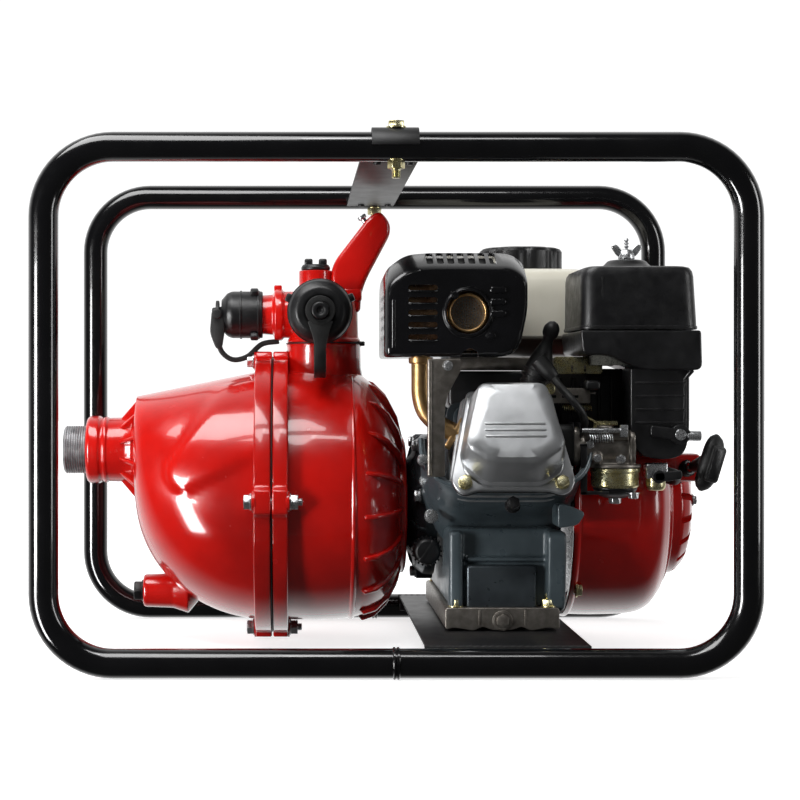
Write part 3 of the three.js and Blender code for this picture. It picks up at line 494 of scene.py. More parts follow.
LOOKS = {
    "frame_black": paint("frame_black", (0.003, 0.003, 0.0035), (0.0015, 0.0015, 0.002),
                         (0.06, 0.06, 0.06), 0.14, 0.5),
    "guard_black": paint("guard_black", (0.004, 0.004, 0.005), (0.002, 0.002, 0.0025),
                         (0.09, 0.09, 0.09), 0.2, 0.3),
    "red_enamel": paint("red_enamel", (0.6, 0.006, 0.003), (0.46, 0.004, 0.002),
                        (0.2, 0.04, 0.03), 0.2, 0.7),
    "cream_enamel": paint("cream_enamel", (0.8, 0.77, 0.66), (0.72, 0.69, 0.58),
                          (0.4, 0.38, 0.34), 0.28, 0.4),
    "black_plastic": moulded("black_plastic", (0.004, 0.004, 0.0045), 0.36),
    "black_rubber": moulded("black_rubber", (0.005, 0.005, 0.005), 0.5, 0.7, 0.05, (0.06, 0.06, 0.06)),
    "dark_casting": casting("dark_casting", (0.075, 0.09, 0.1), (0.04, 0.048, 0.055), 0.3, 0.6,
                            (0.2, 0.22, 0.24), 0.8, 0.05),
    "silver_casting": casting("silver_casting", (0.5, 0.51, 0.52), (0.4, 0.41, 0.42), 0.33, 0.85,
                              (0.75, 0.75, 0.75), 0.9, 0.012),
    "galvanised": plated("galvanised", (0.3, 0.3, 0.31), (0.5, 0.5, 0.51), 0.45),
    "zinc": plated("zinc", (0.55, 0.56, 0.57), (0.7, 0.71, 0.72), 0.26),
    "yellow_zinc": plated("yellow_zinc", (0.52, 0.44, 0.2), (0.62, 0.6, 0.4), 0.26),
    "bronze": plated("bronze", (0.4, 0.24, 0.1), (0.52, 0.34, 0.16), 0.35),
    "ground_steel": plated("ground_steel", (0.45, 0.46, 0.47), (0.6, 0.6, 0.62), 0.24),
    "heated_steel": heated("heated_steel"),
    "ceramic": moulded("ceramic", (0.7, 0.69, 0.66), 0.25, 1.0, 0.01, (0.8, 0.8, 0.78)),
    "filter_foam": porous("filter_foam"),
    "rope": braided("rope"),
    # Partly the casting's own blue-grey and partly painted light: the slate colour is made lighter to stand for
    # light bounced up from below.
    "slate_casting_with_painted_light": casting("slate_casting_with_painted_light", (0.075, 0.098, 0.11), (0.05, 0.066, 0.075), 0.3, 0.1,
                             (0.24, 0.27, 0.29), 0.9, 0.02),
    "dull_steel": plated("dull_steel", (0.2, 0.18, 0.16), (0.3, 0.28, 0.25), 0.4),
    # Painted shade: the tank's underside, which is in shade, is drawn as a dark olive paint.
    "olive_painted_shade": paint("olive_painted_shade", (0.075, 0.068, 0.05), (0.05, 0.046, 0.035),
                         (0.14, 0.13, 0.1), 0.5, 0.0),
    "sheet_black": paint("sheet_black", (0.004, 0.004, 0.0045), (0.002, 0.002, 0.0025),
                         (0.05, 0.05, 0.05), 0.45, 0.0),
}

# Every CAD node that stays in view takes the look of its own slot.
for part in frame["record"]["subparts"]:
    node = frame["nodes"][part["node"]]
    node.data.materials.clear()
    node.data.materials.append(LOOKS[part["material_slot"]])

# ---- fasteners -----------------------------------------------------------------------------------
def hexagon(origin, direction, low, high, flats, edge=0.5):
    """A six-sided head, flats millimetres across."""
    corner = flats / 2 / math.cos(math.pi / 6)
    head = turned([(low, 0), (low, corner), (high, corner), (high, 0)], sides=6)
    return place(soften(head, edge), Matrix.Translation(origin) @ facing(direction))


def thread(origin, direction, low, high, radius, pitch=1.25, depth=0.7):
    """A threaded stud: crests every pitch."""
    profile = [(low, 0)]
    for turn in range(int((high - low) / pitch)):
        profile += [(low + turn * pitch, radius - depth), (low + (turn + 0.5) * pitch, radius)]
    profile += [(high, radius - depth), (high, 0)]
    return turned(profile, origin, direction, 24)


def hex_bolt(origin, direction, head=5, flats=13, washer=16, shank=0):
    """A bolt whose head stands on the origin and whose shank runs back from it."""
    parts = [hexagon(origin, direction, 1.4, 1.4 + head, flats),
             rod(origin, direction, 0, 1.5, washer / 2, 28, 0.3),
             rod(origin, direction, 1.3 + head, 1.7 + head, flats * 0.36, 20, 0.15)]
    if shank:
        parts.append(rod(origin, -Vector(direction), 0, shank, flats * 0.3, 16))
    return merge(*parts)


def nut(origin, direction, height=6.5, flats=13, stud=4):
    """A nut standing on the origin, with the bolt's end showing beyond it."""
    return merge(hexagon(origin, direction, 1.2, 1.2 + height, flats),
                 rod(origin, direction, 0, 1.3, flats * 0.6, 28, 0.3),
                 thread(origin, direction, height, 1.2 + height + stud, flats * 0.3))


# ---- frame ---------------------------------------------------------------------------------------
TUBE = 25.4
BEND_RADIUS = 59
SHEET = 3


def frame_loop(side):
    node = "frame_loop_" + side
    loop = Span(node)
    inset = TUBE / 2
    outline = rounded((loop.x[0] + inset, loop.x[1] - inset), (loop.z[0] + inset, loop.z[1] - inset),
                      BEND_RADIUS, 16)
    y = loop.middle.y
    tube = sweep([(x, y, z) for x, z in outline], circle(inset, 44), closed=True, up=Y)
    crest, foot = inset + 1.3, inset - 0.4
    half = [(0.4, inset + 0.3), (1.1, crest), (2.3, crest), (3.4, foot)]
    profile = [(-along, radius) for along, radius in reversed(half)] + half
    bead = turned(profile, (loop.middle.x, y, loop.z[0] + inset), X, 44)
    piece("tube_loop_" + side, "frame_black", STATIC, tube, bead, stands_for=[node])


def bridge():
    span = Span("top_bridge")
    loop = Span("frame_loop_front")
    axis_z = loop.z[1] - TUBE / 2
    inner, outer = TUBE / 2 + 0.2, TUBE / 2 + SHEET + 0.6
    strap = (span.x[0] + 9, span.x[1] - 1)
    parts = [box(span.x, (span.y[0] + 17, span.y[1] - 17), (span.z[0], span.z[0] + SHEET), 0.6)]
    for side, node in ((-1, "frame_loop_front"), (1, "frame_loop_rear")):
        y = Span(node).middle.y
        arc = [math.pi * k / 20 for k in range(21)]
        over = [(y + outer * math.cos(a), axis_z + outer * math.sin(a)) for a in arc]
        under = [(y + inner * math.cos(a), axis_z + inner * math.sin(a)) for a in reversed(arc)]
        parts.append(slab(over + under, strap[0], strap[1], X, 0.5))
        leg = sorted((y - side * inner, y - side * (inner + SHEET)))
        parts.append(box(strap, leg, (span.z[0], axis_z + 1), 0.6))
        for x in (strap[0] + 6, strap[1] - 6):
            parts.append(rod((x, y - side * (inner + 12), span.z[0]), -Z, -1, 2.4, 3.4, 16, 0.8))
    piece("bridge_plate", "sheet_black", STATIC, *parts, stands_for=["top_bridge"])
    for side in ("front", "rear"):
        bolt = Span("bridge_bolt_" + side)
        at = Vector((bolt.middle.x, bolt.middle.y, 0))
        low = Vector((at.x, at.y, span.z[0]))
        piece("bridge_fastener_" + side, "yellow_zinc", STATIC,
              hex_bolt(at + Z * (bolt.z[1] - 6.2), Z, 4.8, 13, 17, 36),
              nut(low + Z * -0.2, -Z, 7, 13, 8), stands_for=["bridge_bolt_" + side])


def base_plate():
    span = Span("base_plate")
    foot = Span("crankcase")
    thick = 3.5
    parts = [box(span.x, span.y, (span.z[1] - thick, span.z[1]), 1.0)]
    for y in (span.y[0], span.y[1] - thick):
        parts.append(box(span.x, (y, y + thick), (span.z[0], span.z[1] - 0.2), 1.0))
    for x in (span.x[0] + 12, span.x[1] - 12):
        parts.append(box((x - 2, x + 2), (span.y[0] + 6, span.y[1] - 6), (span.z[1] - 9, span.z[1] - 2), 1.2))
    for y in (span.y[0], span.y[1]):
        weld = []
        for x in range(int(span.x[0]), int(span.x[1]) + 1, 2):
            weld.append((x, y, span.z[1] - 2 + 0.4 * math.sin(x)))
        parts.append(sweep(weld, circle(2.4, 10)))
    piece("engine_bed", "sheet_black", STATIC, *parts, stands_for=["base_plate"])
    bolts = []
    for x in (foot.x[0] + 14, foot.x[1] - 14):
        for y in (foot.y[0] + 14, foot.y[1] - 14):
            bolts.append(nut((x, y, span.z[0] + 12), -Z, 6, 13, 3))
    piece("engine_bed_nuts", "zinc", STATIC, *bolts)


frame_loop("front")
frame_loop("rear")
bridge()
base_plate()

# ---- pump casing ---------------------------------------------------------------------------------
shaft = Span("shaft_seal").middle
SHAFT_LINE = (0, shaft.y, shaft.z)
seam = Span("casing_gasket")
casing = seam.middle
suction = Span("suction_nipple").middle
drain = Span("drain_plug").middle
front = Span("pump_front_casing")
rear = Span("pump_rear_casing")
CASING_RADIUS = 123
WALL = 6
FLANGE_RADIUS = 134
LUG_PITCH = casing.y - Span("casing_bolt").middle.y
LUGS = 4
BOWL_LEFT = Span("suction_flap").x[0] - 6.5
TOWER_X = -57  # the neck that rises from the rear casing to the manifold
TOWER_RADIUS = 36
PASSAGE_TIP = Vector((-189, 168))  # (x, z) ends of the suction passage's bulge on the bowl
PASSAGE_ROOT = Vector((-136, 214))
BULGE = 4.5


def wandering(profile, centre_z):
    """A turned casing whose centre rises and falls along its length; profile is (x, radius)."""
    shape = turned(profile, (0, 0, 0), X, 144, closed=True)
    for vert in shape.verts:
        vert.co.y += casing.y
        vert.co.z += centre_z(vert.co.x)
    return shape


def bowl_top(t):
    """The bowl's crest, t going from 0 at its left end to 1 at the flange; it falls to the left."""
    return casing.z + CASING_RADIUS - 27 * (1 - t)


def bowl_bottom(t):
    """The bowl's underside, a quarter of an ellipse."""
    return casing.z - 7 - (CASING_RADIUS - 7) * math.sqrt(max(0, 1 - (1 - t) ** 2))


def bowl_centre(x):
    t = min(max((x - BOWL_LEFT) / (front.x[1] - BOWL_LEFT), 0), 1)
    return (bowl_top(t) + bowl_bottom(t)) / 2


def bowl():
    """The suction bowl, with the bulge of the suction passage on its near side."""
    length = front.x[1] - BOWL_LEFT
    stations = [1 - math.cos(k / 40 * math.pi / 2) for k in range(41)]
    radius = [(bowl_top(t) - bowl_bottom(t)) / 2 for t in stations]
    outer = [(BOWL_LEFT + t * length, r) for t, r in zip(stations, radius)]
    inner = [(x, r - WALL) for x, r in outer[6:]]
    end = [(BOWL_LEFT + 1.2, 30), (BOWL_LEFT, radius[0] - 6)]
    inner_end = [(BOWL_LEFT + WALL, inner[0][1] - 2), (BOWL_LEFT + WALL, 30)]
    shape = wandering(end + outer + list(reversed(inner)) + inner_end, bowl_centre)
    along = PASSAGE_ROOT - PASSAGE_TIP
    for vert in shape.verts:
        seen = Vector((vert.co.x, vert.co.z))
        share = min(max((seen - PASSAGE_TIP).dot(along) / along.length_squared, 0), 1.25)
        away = (seen - PASSAGE_TIP - along * share).length / (17 + 19 * share)
        if vert.co.y < casing.y - 40 and away < 2:
            vert.co.y -= BULGE / (1 + math.exp((away - 1) * 16))
    return shape


def flange(low, high):
    """A ring with a block-shaped lug at each bolt."""
    outline = []
    for k in range(360):
        angle = math.radians(k + 0.5)
        nearest = round(angle / (TAU / LUGS)) * (TAU / LUGS)
        sideways = abs(angle - nearest) * LUG_PITCH
        lug = 1 / (1 + math.exp((sideways - 12) * 1.6))
        radius = FLANGE_RADIUS + 6 * lug
        outline.append((casing.y + radius * math.cos(angle), casing.z + radius * math.sin(angle)))
    plate = slab(outline, low, high, X, 1.6, 3)
    bore = rod((0, casing.y, casing.z), X, low - 5, high + 5, CASING_RADIUS - WALL, 96)
    return cut(plate, bore)


def round_line(x, centre, radius, angle):
    """A point at x, at an angle round the line along X through the centre."""
    return Vector((x, centre.y + radius * math.cos(angle), centre.z + radius * math.sin(angle)))


def at_each_lug(x):
    """The bolt's place at each lug of the casing flanges."""
    return [round_line(x, casing, LUG_PITCH, TAU * k / LUGS) for k in range(LUGS)]


def lug_bosses(face, outward):
    """Raised spot faces under the bolt heads."""
    return [rod(at, outward, -2, 1.6, 10, 24, 0.8) for at in at_each_lug(face)]


def radial_rib(outline, angle, centre, thick):
    """A fin in a plane through a line along X; the outline is (x, distance from the line)."""
    fin = slab(outline, -thick / 2, thick / 2, Z, thick * 0.3, 2)
    tilt = Matrix.Rotation(angle, 4, "X")
    return place(fin, Matrix.Translation((0, centre.y, centre.z)) @ tilt)


def front_casing():
    at = Vector((0, suction.y, suction.z))
    left = front.x[0]
    neck_profile = [(left, 25), (left, 30.5), (left + 3, 33.2), (left + 12, 33.2), (left + 14, 31.6),
                    (left + 16.5, 31.6), (left + 17.5, 32.6), (left + 20, 32.6), (left + 21, 31.4),
                    (left + 38, 31.8), (left + 45, 34), (left + 49.5, 40), (left + 52, 46),
                    (left + 60, 40), (left + 60, 25)]
    neck = turned(eased(neck_profile, 1.4, 3), at, X, 72, closed=True)
    ribs = [radial_rib([(BOWL_LEFT - 17, 30), (BOWL_LEFT + 2, 52), (BOWL_LEFT + 6, 30)],
                       TAU * (k + 0.5) / 12, at, 4) for k in range(12)]
    boss = turned(eased([(-234, 7), (-234, 14.5), (-232, 16), (-205, 17), (-190, 22), (-180, 10)], 1.5, 3),
                  (0, drain.y, drain.z), X, 40, closed=True)
    pads = []
    for x, angle in ((-225, 200), (-214, 222)):
        turn = math.radians(angle)
        out = Vector((-0.75, 0.66 * math.cos(turn), 0.66 * math.sin(turn))).normalized()
        root = Vector((x + 3, casing.y, bowl_centre(x)))
        root += Vector((0, math.cos(turn), math.sin(turn))) * ((bowl_top(0.1) - bowl_bottom(0.1)) / 2 - 3)
        pads.append(rod(root, out, -4, 4, 5, 20, 1))
    piece("suction_bowl", "red_enamel", STATIC, bowl(), neck, *ribs, boss, *pads,
          flange(front.x[1] - 15.9, front.x[1]), *lug_bosses(front.x[1] - 15.9, -X),
          stands_for=["pump_front_casing"])


def rear_centre(x):
    return casing.z - 12 * max(0, (x + 24) / 42)


def rear_casing():
    outline = curve_through([(-92, 0, 122.5), (-60, 0, 123), (-24, 0, 119), (-5, 0, 107), (8, 0, 88),
                             (16, 0, 66)], 7)
    outer = [(point.x, point.z) for point in outline] + [(18, 62), (18, 24)]
    inner = [(12, 24), (12, 58), (2, 82), (-10, 99), (-28, 112), (-60, 117), (rear.x[0], 117)]
    shell = wandering([(rear.x[0], 122.5)] + outer + inner, rear_centre)
    fin = [(-26, 112), (-20, 119), (-8, 115), (4, 103), (14, 84), (19, 64), (14, 62), (-10, 96)]
    fins = [radial_rib(fin, TAU * (k + 0.25) / 18, Vector((0, casing.y, casing.z - 5)), 4.2)
            for k in range(18)]
    rim = turned(eased([(15, 58), (15, 67), (20, 67), (21.5, 64), (21.5, 40), (15, 40)], 1, 3),
                 SHAFT_LINE, X, 72, closed=True)
    step = turned(eased([(-34, 110), (-34, 120.5), (-31, 122), (-28, 120), (-28, 110)], 1, 3),
                  (0, casing.y, casing.z - 1), X, 120, closed=True)
    top = Span("discharge_manifold").z[0] - 0.8
    tower_profile = [(205, 20), (205, 66), (225, 58), (240, 46), (254, 39), (266, 36.5), (top - 4, 36),
                     (top - 1, TOWER_RADIUS + 1), (top, TOWER_RADIUS), (top, 20)]
    tower = turned(tower_profile, (TOWER_X, casing.y, 0), Z, 72, closed=True)
    nut_room = rod((rear.x[0] + 14, casing.y, casing.z + LUG_PITCH), X, 0, 14, 11.5, 32)
    flare = [(-62, 225), (-28, 262), (TOWER_X + 34, top - 6), (TOWER_X + 34, 262), (-6, 236), (-4, 215)]
    web = slab(eased(flare, [0, 0, 2, 10, 10, 0]), casing.y - 5, casing.y + 5, Y, 2)
    piece("volute_casing", "red_enamel", STATIC, shell, *fins, rim, step, cut(tower, nut_room), web,
          flange(rear.x[0], rear.x[0] + 14.6), *lug_bosses(rear.x[0] + 14.6, X),
          stands_for=["pump_rear_casing"])


def casing_bolts():
    """The four bolts that clamp the two casings; the CAD holds one of them."""
    heads, nuts = [], []
    for at in at_each_lug(0):
        heads.append(hex_bolt(at + X * (front.x[1] - 17.6), -X, 5.5, 13, 16))
        nuts.append(nut(at + X * (rear.x[0] + 16.3), X, 6.5, 13, 4))
        nuts.append(rod(at, X, front.x[1] - 18, rear.x[0] + 17, 3.9, 16))
    piece("casing_bolts", "zinc", STATIC, *heads, *nuts, stands_for=["casing_bolt"])


def suction_nipple():
    span = Span("suction_nipple")
    at = (0, suction.y, suction.z)
    pitch, crest = 2.3, (span.y[1] - span.y[0]) / 2
    profile = [(span.x[0], 20), (span.x[0], crest - 1.8)]
    for turn in range(16):
        start = span.x[0] + 1 + turn * pitch
        profile += [(start, crest - 1.1), (start + 0.9, crest), (start + 1.3, crest)]
    profile += [(span.x[1], crest - 1), (span.x[1], 20)]
    piece("nipple_thread", "galvanised", STATIC, turned(profile, at, X, 80, closed=True),
          stands_for=["suction_nipple"])


def drain_plug():
    span = Span("drain_plug")
    at = Vector((span.x[0], drain.y, drain.z))
    parts = [hexagon(at, X, 0, 8, 17, 0.8), rod(at, X, 7.5, 9, 10.4, 28, 0.4),
             thread(at, X, 9, 28, 6.9, 1.8, 0.9)]
    piece("drain_plug_body_seen", "black_plastic", "drain_plug_body", *parts, stands_for=["drain_plug"])


def sealing_ring():
    ring = pipe((0, casing.y, casing.z), X, seam.x[0], seam.x[1], 116, FLANGE_RADIUS + 0.6, 120, 0.1)
    piece("casing_gasket_edge", "black_rubber", STATIC, ring, stands_for=["casing_gasket"])


front_casing()
rear_casing()
casing_bolts()
suction_nipple()
drain_plug()
sealing_ring()

# ---- discharge manifold and caps -----------------------------------------------------------------
manifold = Span("discharge_manifold")
cap_front = Span("outlet_cap_front")
cap_side = Span("outlet_cap_side")
plug = Span("priming_plug")
outlet = Vector((cap_front.middle.x, cap_side.middle.y, cap_front.middle.z))
STRAP_WIDTH = 11
MANIFOLD_TOP = 342


def discharge_manifold():
    base, top = manifold.z[0], MANIFOLD_TOP
    r = TOWER_RADIUS
    body = turned(eased([(base, 22), (base, r), (base + 3, r), (base + 5, r - 2), (top - 6, r - 3),
                         (top, r - 10), (top, 8), (top - 8, 8), (top - 8, 22)], 2.5, 4),
                  (TOWER_X, casing.y, 0), Z, 72, closed=True)
    spigot = turned(eased([(0, 16), (0, 27), (30, 27), (36, 24), (62, 24), (62, 25.5), (66, 25.5), (66, 24),
                           (89, 24), (89, 18), (10, 18)], 1.2, 3), outlet, -Y, 60, closed=True)
    side = turned(eased([(0, 12), (0, 23), (34, 23), (36, 25.5), (43, 25.5), (45, 20), (58, 19), (86, 19),
                         (86, 14), (10, 14)], 1.2, 3), outlet, -X, 60, closed=True)
    boss = turned(eased([(top - 8, 8), (top - 8, 19), (top + 4, 16.5), (plug.z[0] + 14, 16.5),
                         (plug.z[0] + 14, 9.6)], 1.5, 3), (plug.middle.x, casing.y, 0), Z, 48, closed=True)
    seat = box((-46, -20), (casing.y - 13, casing.y + 13), (top - 12, top + 1.5), 3)
    ear = box((outlet.x - 44, outlet.x - 36), (casing.y - 6, casing.y + 6),
              (outlet.z + 18, outlet.z + 29), 1.5)
    piece("manifold_casting", "red_enamel", STATIC, body, spigot, side, boss, seat, ear,
          stands_for=["discharge_manifold"])
    gasket = pipe((TOWER_X, casing.y, 0), Z, base - 0.9, base - 0.1, 24, TOWER_RADIUS + 1.2, 72, 0.2)
    clip = box((TOWER_X + 34, TOWER_X + 40), (casing.y - 9, casing.y - 3), (base - 3, base + 1.5), 1)
    piece("manifold_gasket", "black_rubber", STATIC, gasket, clip)


def carry_arm():
    span = Span("carry_arm")
    foot = span.z[0]
    outline = [(-21.5, foot - 25), (-20, foot), (11, 402), (-1, 420.5), (-13, 414), (-50, 366),
               (-50, foot - 25)]
    shape = slab(eased(outline, [0, 20, 13, 14, 8, 12, 0], 8), span.y[0], span.y[1], Y, 5, 4)
    piece("handle_arm", "red_enamel", STATIC, shape, stands_for=["carry_arm"])
    screw = Vector((-16.5, span.y[0] + 9, 409))
    piece("handle_screw", "zinc", STATIC, rod(screw, (-0.55, 0, 0.83), -3, 4, 2.6, 16, 0.6),
          rod(screw, (-0.55, 0, 0.83), 3.5, 7.5, 4.6, 20, 1.4))


def outlet_cap(name, node, origin, direction, depth, outer, boss, body, pegs):
    """A cup-shaped cap: ribbed skirt, domed face, boss with a dimple and pegs for a spanner."""
    face = depth + 6
    profile = [(0, outer - 4), (0, outer), (depth - 4, outer), (depth + 1, outer - 2), (face, outer - 8),
               (face + 0.5, boss + 8), (face - 0.6, boss + 6), (face + 0.5, boss + 1), (face + 10, boss),
               (face + 10, 3.5), (face + 7, 2.5), (face + 7, 0)]
    skin = eased(profile, 1.6, 3, closed=False)
    inside = [(depth, 0), (depth, outer - 5), (0, outer - 4)]
    shell = turned(skin + inside, origin, direction, 64)
    ridges = [pipe(origin, direction, at, at + 2, outer - 1.5, outer + 0.9, 64, 0.6)
              for at in (3, depth * 0.6)]
    ears = [place(box((-4, 4), (-4, 4), (0, 7.5), 1.6),
                  Matrix.Translation(Vector(origin) + Vector(direction) * 8) @ facing(side)
                  @ Matrix.Translation((0, 0, outer - 2.5))) for side in pegs]
    piece(name, "black_plastic", body, shell, *ridges, *ears, stands_for=[node])


def strap(name, node, eye, direction, path):
    """A tether: a teardrop eye round the cap's boss, and a band that loops back to the manifold."""
    side, thick = (X, 2.6) if direction == -Y else (Y, 5)
    band = curve_through(path, 8)
    last = len(band) - 1
    shape = bmesh.new()
    rims = []
    for i, point in enumerate(band):
        half = STRAP_WIDTH / 2 + 6.5 * max(0, 1 - i / last * 4) ** 1.5
        ahead = band[min(i + 1, last)] - band[max(i - 1, 0)]
        up = ahead.cross(side).normalized() * thick / 2
        corners = [point + side * half + up, point - side * half + up,
                   point - side * half - up, point + side * half - up]
        rims.append([shape.verts.new(corner) for corner in corners])
    for low, high in zip(rims, rims[1:]):
        for k in range(4):
            after = (k + 1) % 4
            shape.faces.new((low[k], low[after], high[after], high[k]))
    shape.faces.new(rims[0])
    shape.faces.new(rims[-1])
    bmesh.ops.recalc_face_normals(shape, faces=shape.faces)
    soften(shape, 0.7, 2, 50)
    ring = pipe(eye, direction, 0.2, 3.6, 8.4, 14, 40, 0.9)
    extras = []
    if side is Y:
        # The side tether hangs in a leaf that shows its flat to the front.
        at = eye + direction * 2
        leaf = eased([(at.x - 5, at.z + 5), (at.x + 5, at.z + 5), (at.x + 8, at.z - 14),
                      (at.x + 5, at.z - 34), (at.x - 1, at.z - 34), (at.x - 7, at.z - 18)], 5, 5)
        extras = [slab(leaf, at.y - 17, at.y - 13.5, Y, 1, 3), rod(at, -Y, 12, 20, 4.6, 28, 1)]
    piece(name, "black_rubber", STATIC, shape, ring, *extras, stands_for=[node])


def priming_plug():
    at = Vector((plug.middle.x, plug.middle.y, plug.z[0] + 14))
    lid = turned(eased([(0.3, 8), (0.3, 14), (3, 14.4), (6, 12.5), (6, 0)], 1, 3, closed=False), at, Z, 40)
    stem = thread(at, Z, -13, 0.4, 9, 2, 1)
    parts = [lid, stem]
    for side in (-1, 1):
        prong = box((at.x + side * 7 - 4, at.x + side * 7 + 4), (at.y - 5.5, at.y + 5.5),
                    (at.z + 4, plug.z[1]), 1.8, 3)
        parts.append(prong)
    piece("priming_plug_seen", "black_plastic", "priming_plug_body", *parts, stands_for=["priming_plug"])


discharge_manifold()
carry_arm()
outlet_cap("cap_front", "outlet_cap_front", (outlet.x, cap_front.y[1], outlet.z), -Y, 21, 30, 8,
           "front_cap_body", [(0.9, 0, 0.4), (-0.9, 0, 0.4)])
outlet_cap("cap_side", "outlet_cap_side", (cap_side.x[1], outlet.y, outlet.z), -X, 34, 23, 7,
           "side_cap_body", [(0, -0.5, 0.85), (0, -0.5, -0.85)])
front_eye = Vector((outlet.x, cap_front.y[1] - 29.5, outlet.z))
side_eye = Vector((cap_side.x[1] - 42.5, outlet.y, outlet.z))
strap("tether_front", "cap_strap_front", front_eye, -Y,
      [front_eye + Vector((0, -2, -10)), front_eye + Vector((0, -2, -26)), front_eye + Vector((0, -1, -43)),
       front_eye + Vector((0, 5, -57)), front_eye + Vector((0, 22, -61)), Vector((outlet.x, -16, 264)),
       Vector((outlet.x, 1, 287))])
strap("tether_side", "cap_strap_side", side_eye, -X,
      [side_eye + Vector((-2, 0, -9)), side_eye + Vector((-1.5, 0, -22)), side_eye + Vector((2, 0, -36)),
       side_eye + Vector((13, 0, -44)), Vector((-132, outlet.y, 277)), Vector((-118, outlet.y, 289)),
       Vector((-101, outlet.y, 292))])
priming_plug()

# ---- engine block --------------------------------------------------------------------------------
joints = {joint["name"]: joint for joint in frame["joints"]}
towards_head = Vector(joints["piston_slide"]["axis"])
crank = Vector((Span("crankpin").middle.x, shaft.y, shaft.z))
over = towards_head.cross(X)
on_cylinder = Matrix.Translation(crank) @ Matrix((X, over, towards_head)).transposed().to_4x4()
block = Span("crankcase")
cover = Span("crankcase_cover")
DECK = 138  # top of the cylinder, along its axis from the crank
HEAD = 170  # top of the cylinder head
FOOT_TOP = block.z[0] + 21


def tilted(shape):
    """From the cylinder's own axes (across, over, along) to the frame."""
    return place(shape, on_cylinder)


def mirrored(points):
    """A right-hand half outline, closed by its mirror image."""
    return points + [(-u, v) for u, v in reversed(points)]


def fin_outline(grow):
    half = [(38 + grow, 40 + grow), (48 + grow, -20), (52 + grow, -44), (40, -52 - grow)]
    return eased(mirrored(half), 9, 4)


def crankcase():
    left, right = block.x
    foot_front = block.y[0]
    drum = rod(shaft, X, left + 2, right, 72, 64, 3)
    base = box((left + 6, right - 5), (foot_front + 12, block.y[1] - 3), (FOOT_TOP - 1, 118), 6, 3)
    shelf = box((70, 147), (foot_front + 6, foot_front + 20), (88, 92), 1.5)
    left_post = box((left + 6, left + 19), (foot_front + 1, foot_front + 22), (FOOT_TOP - 2, 116), 4, 3)
    right_post = slab(eased([(foot_front + 3, FOOT_TOP - 4), (foot_front - 2, 70), (foot_front - 6, 116),
                             (foot_front + 30, 116), (foot_front + 30, FOOT_TOP - 4)], 8),
                      right - 16, right + 1, X, 5, 3)
    barrel = tilted(slab(rounded((-44, 44), (-44, 44), 10), 40, DECK - 1, Z, 1))
    tank_posts = [box(span, (60, 72), (180, 276.5), 2) for span in ((60, 72), (140, 152))]
    ribs = [box((x, x + 4), (foot_front + 60, block.y[1] - 1), (FOOT_TOP, 100), 1.5)
            for x in (64, 84, 104, 124, 142)]
    whole = cast(merge(drum, base, shelf, left_post, right_post, barrel, *tank_posts, *ribs), 1.6, 3)
    # The slate look carries painted light: its colour is lightened to stand for light bounced up from below.
    piece("engine_block", "slate_casting_with_painted_light", STATIC, whole, stands_for=["crankcase"], crease=50)
    panel = box((left + 22, right - 25), (foot_front + 4, foot_front + 18), (FOOT_TOP - 1, 85), 3, 3)
    piece("block_panel", "dark_casting", STATIC, panel)
    fins = [tilted(slab(rounded((-50, 50), (-46, 50), 12), at, at + 2.6, Z, 0.9))
            for at in range(66, 130, 9)]
    piece("cylinder_fins", "dark_casting", STATIC, *fins)


def engine_foot():
    """The machined foot under the block, with its studs and the oil drain plug."""
    left, right = block.x[0] + 2.5, block.x[0] + 106
    y = block.y[0]
    low, high = block.z[0], FOOT_TOP
    middle = (left + right) / 2
    wavy = [(left, low + 1), (left + 9, low + 3), (left + 26, low), (left + 34, low + 4),
            (middle - 10, low + 1), (middle, low + 0.2), (middle + 10, low + 1), (right - 34, low + 4),
            (right - 26, low), (right - 9, low + 3), (right, low + 1), (right, high), (left, high)]
    block_foot = slab(eased(wavy, 3), y, block.y[1], Y, 1.2, 3)
    ring = pipe((middle, y, low + 9.5), -Y, -1, 1.6, 6.6, 9.2, 40, 0.8)
    ridges = [box((x, x + 2), (y - 0.8, y + 2), (low + 5, high - 2), 0.5) for x in (left + 30, right - 32)]
    piece("engine_foot", "dull_steel", STATIC, block_foot, ring, *ridges)
    drain_at = Vector((middle, y - 1, low + 9.5))
    piece("oil_drain_bolt", "dull_steel", STATIC, hexagon(drain_at, -Y, -2, 4, 11, 0.6),
          pipe(drain_at, -Y, -1, 1.2, 5, 8, 32, 0.4))
    studs = []
    for x in (left + 10, right - 9):
        for at_y in (y + 7, block.y[1] - 9):
            studs.append(nut((x, at_y, high), Z, 6, 12, 5))
    piece("engine_foot_nuts", "yellow_zinc", STATIC, *studs)


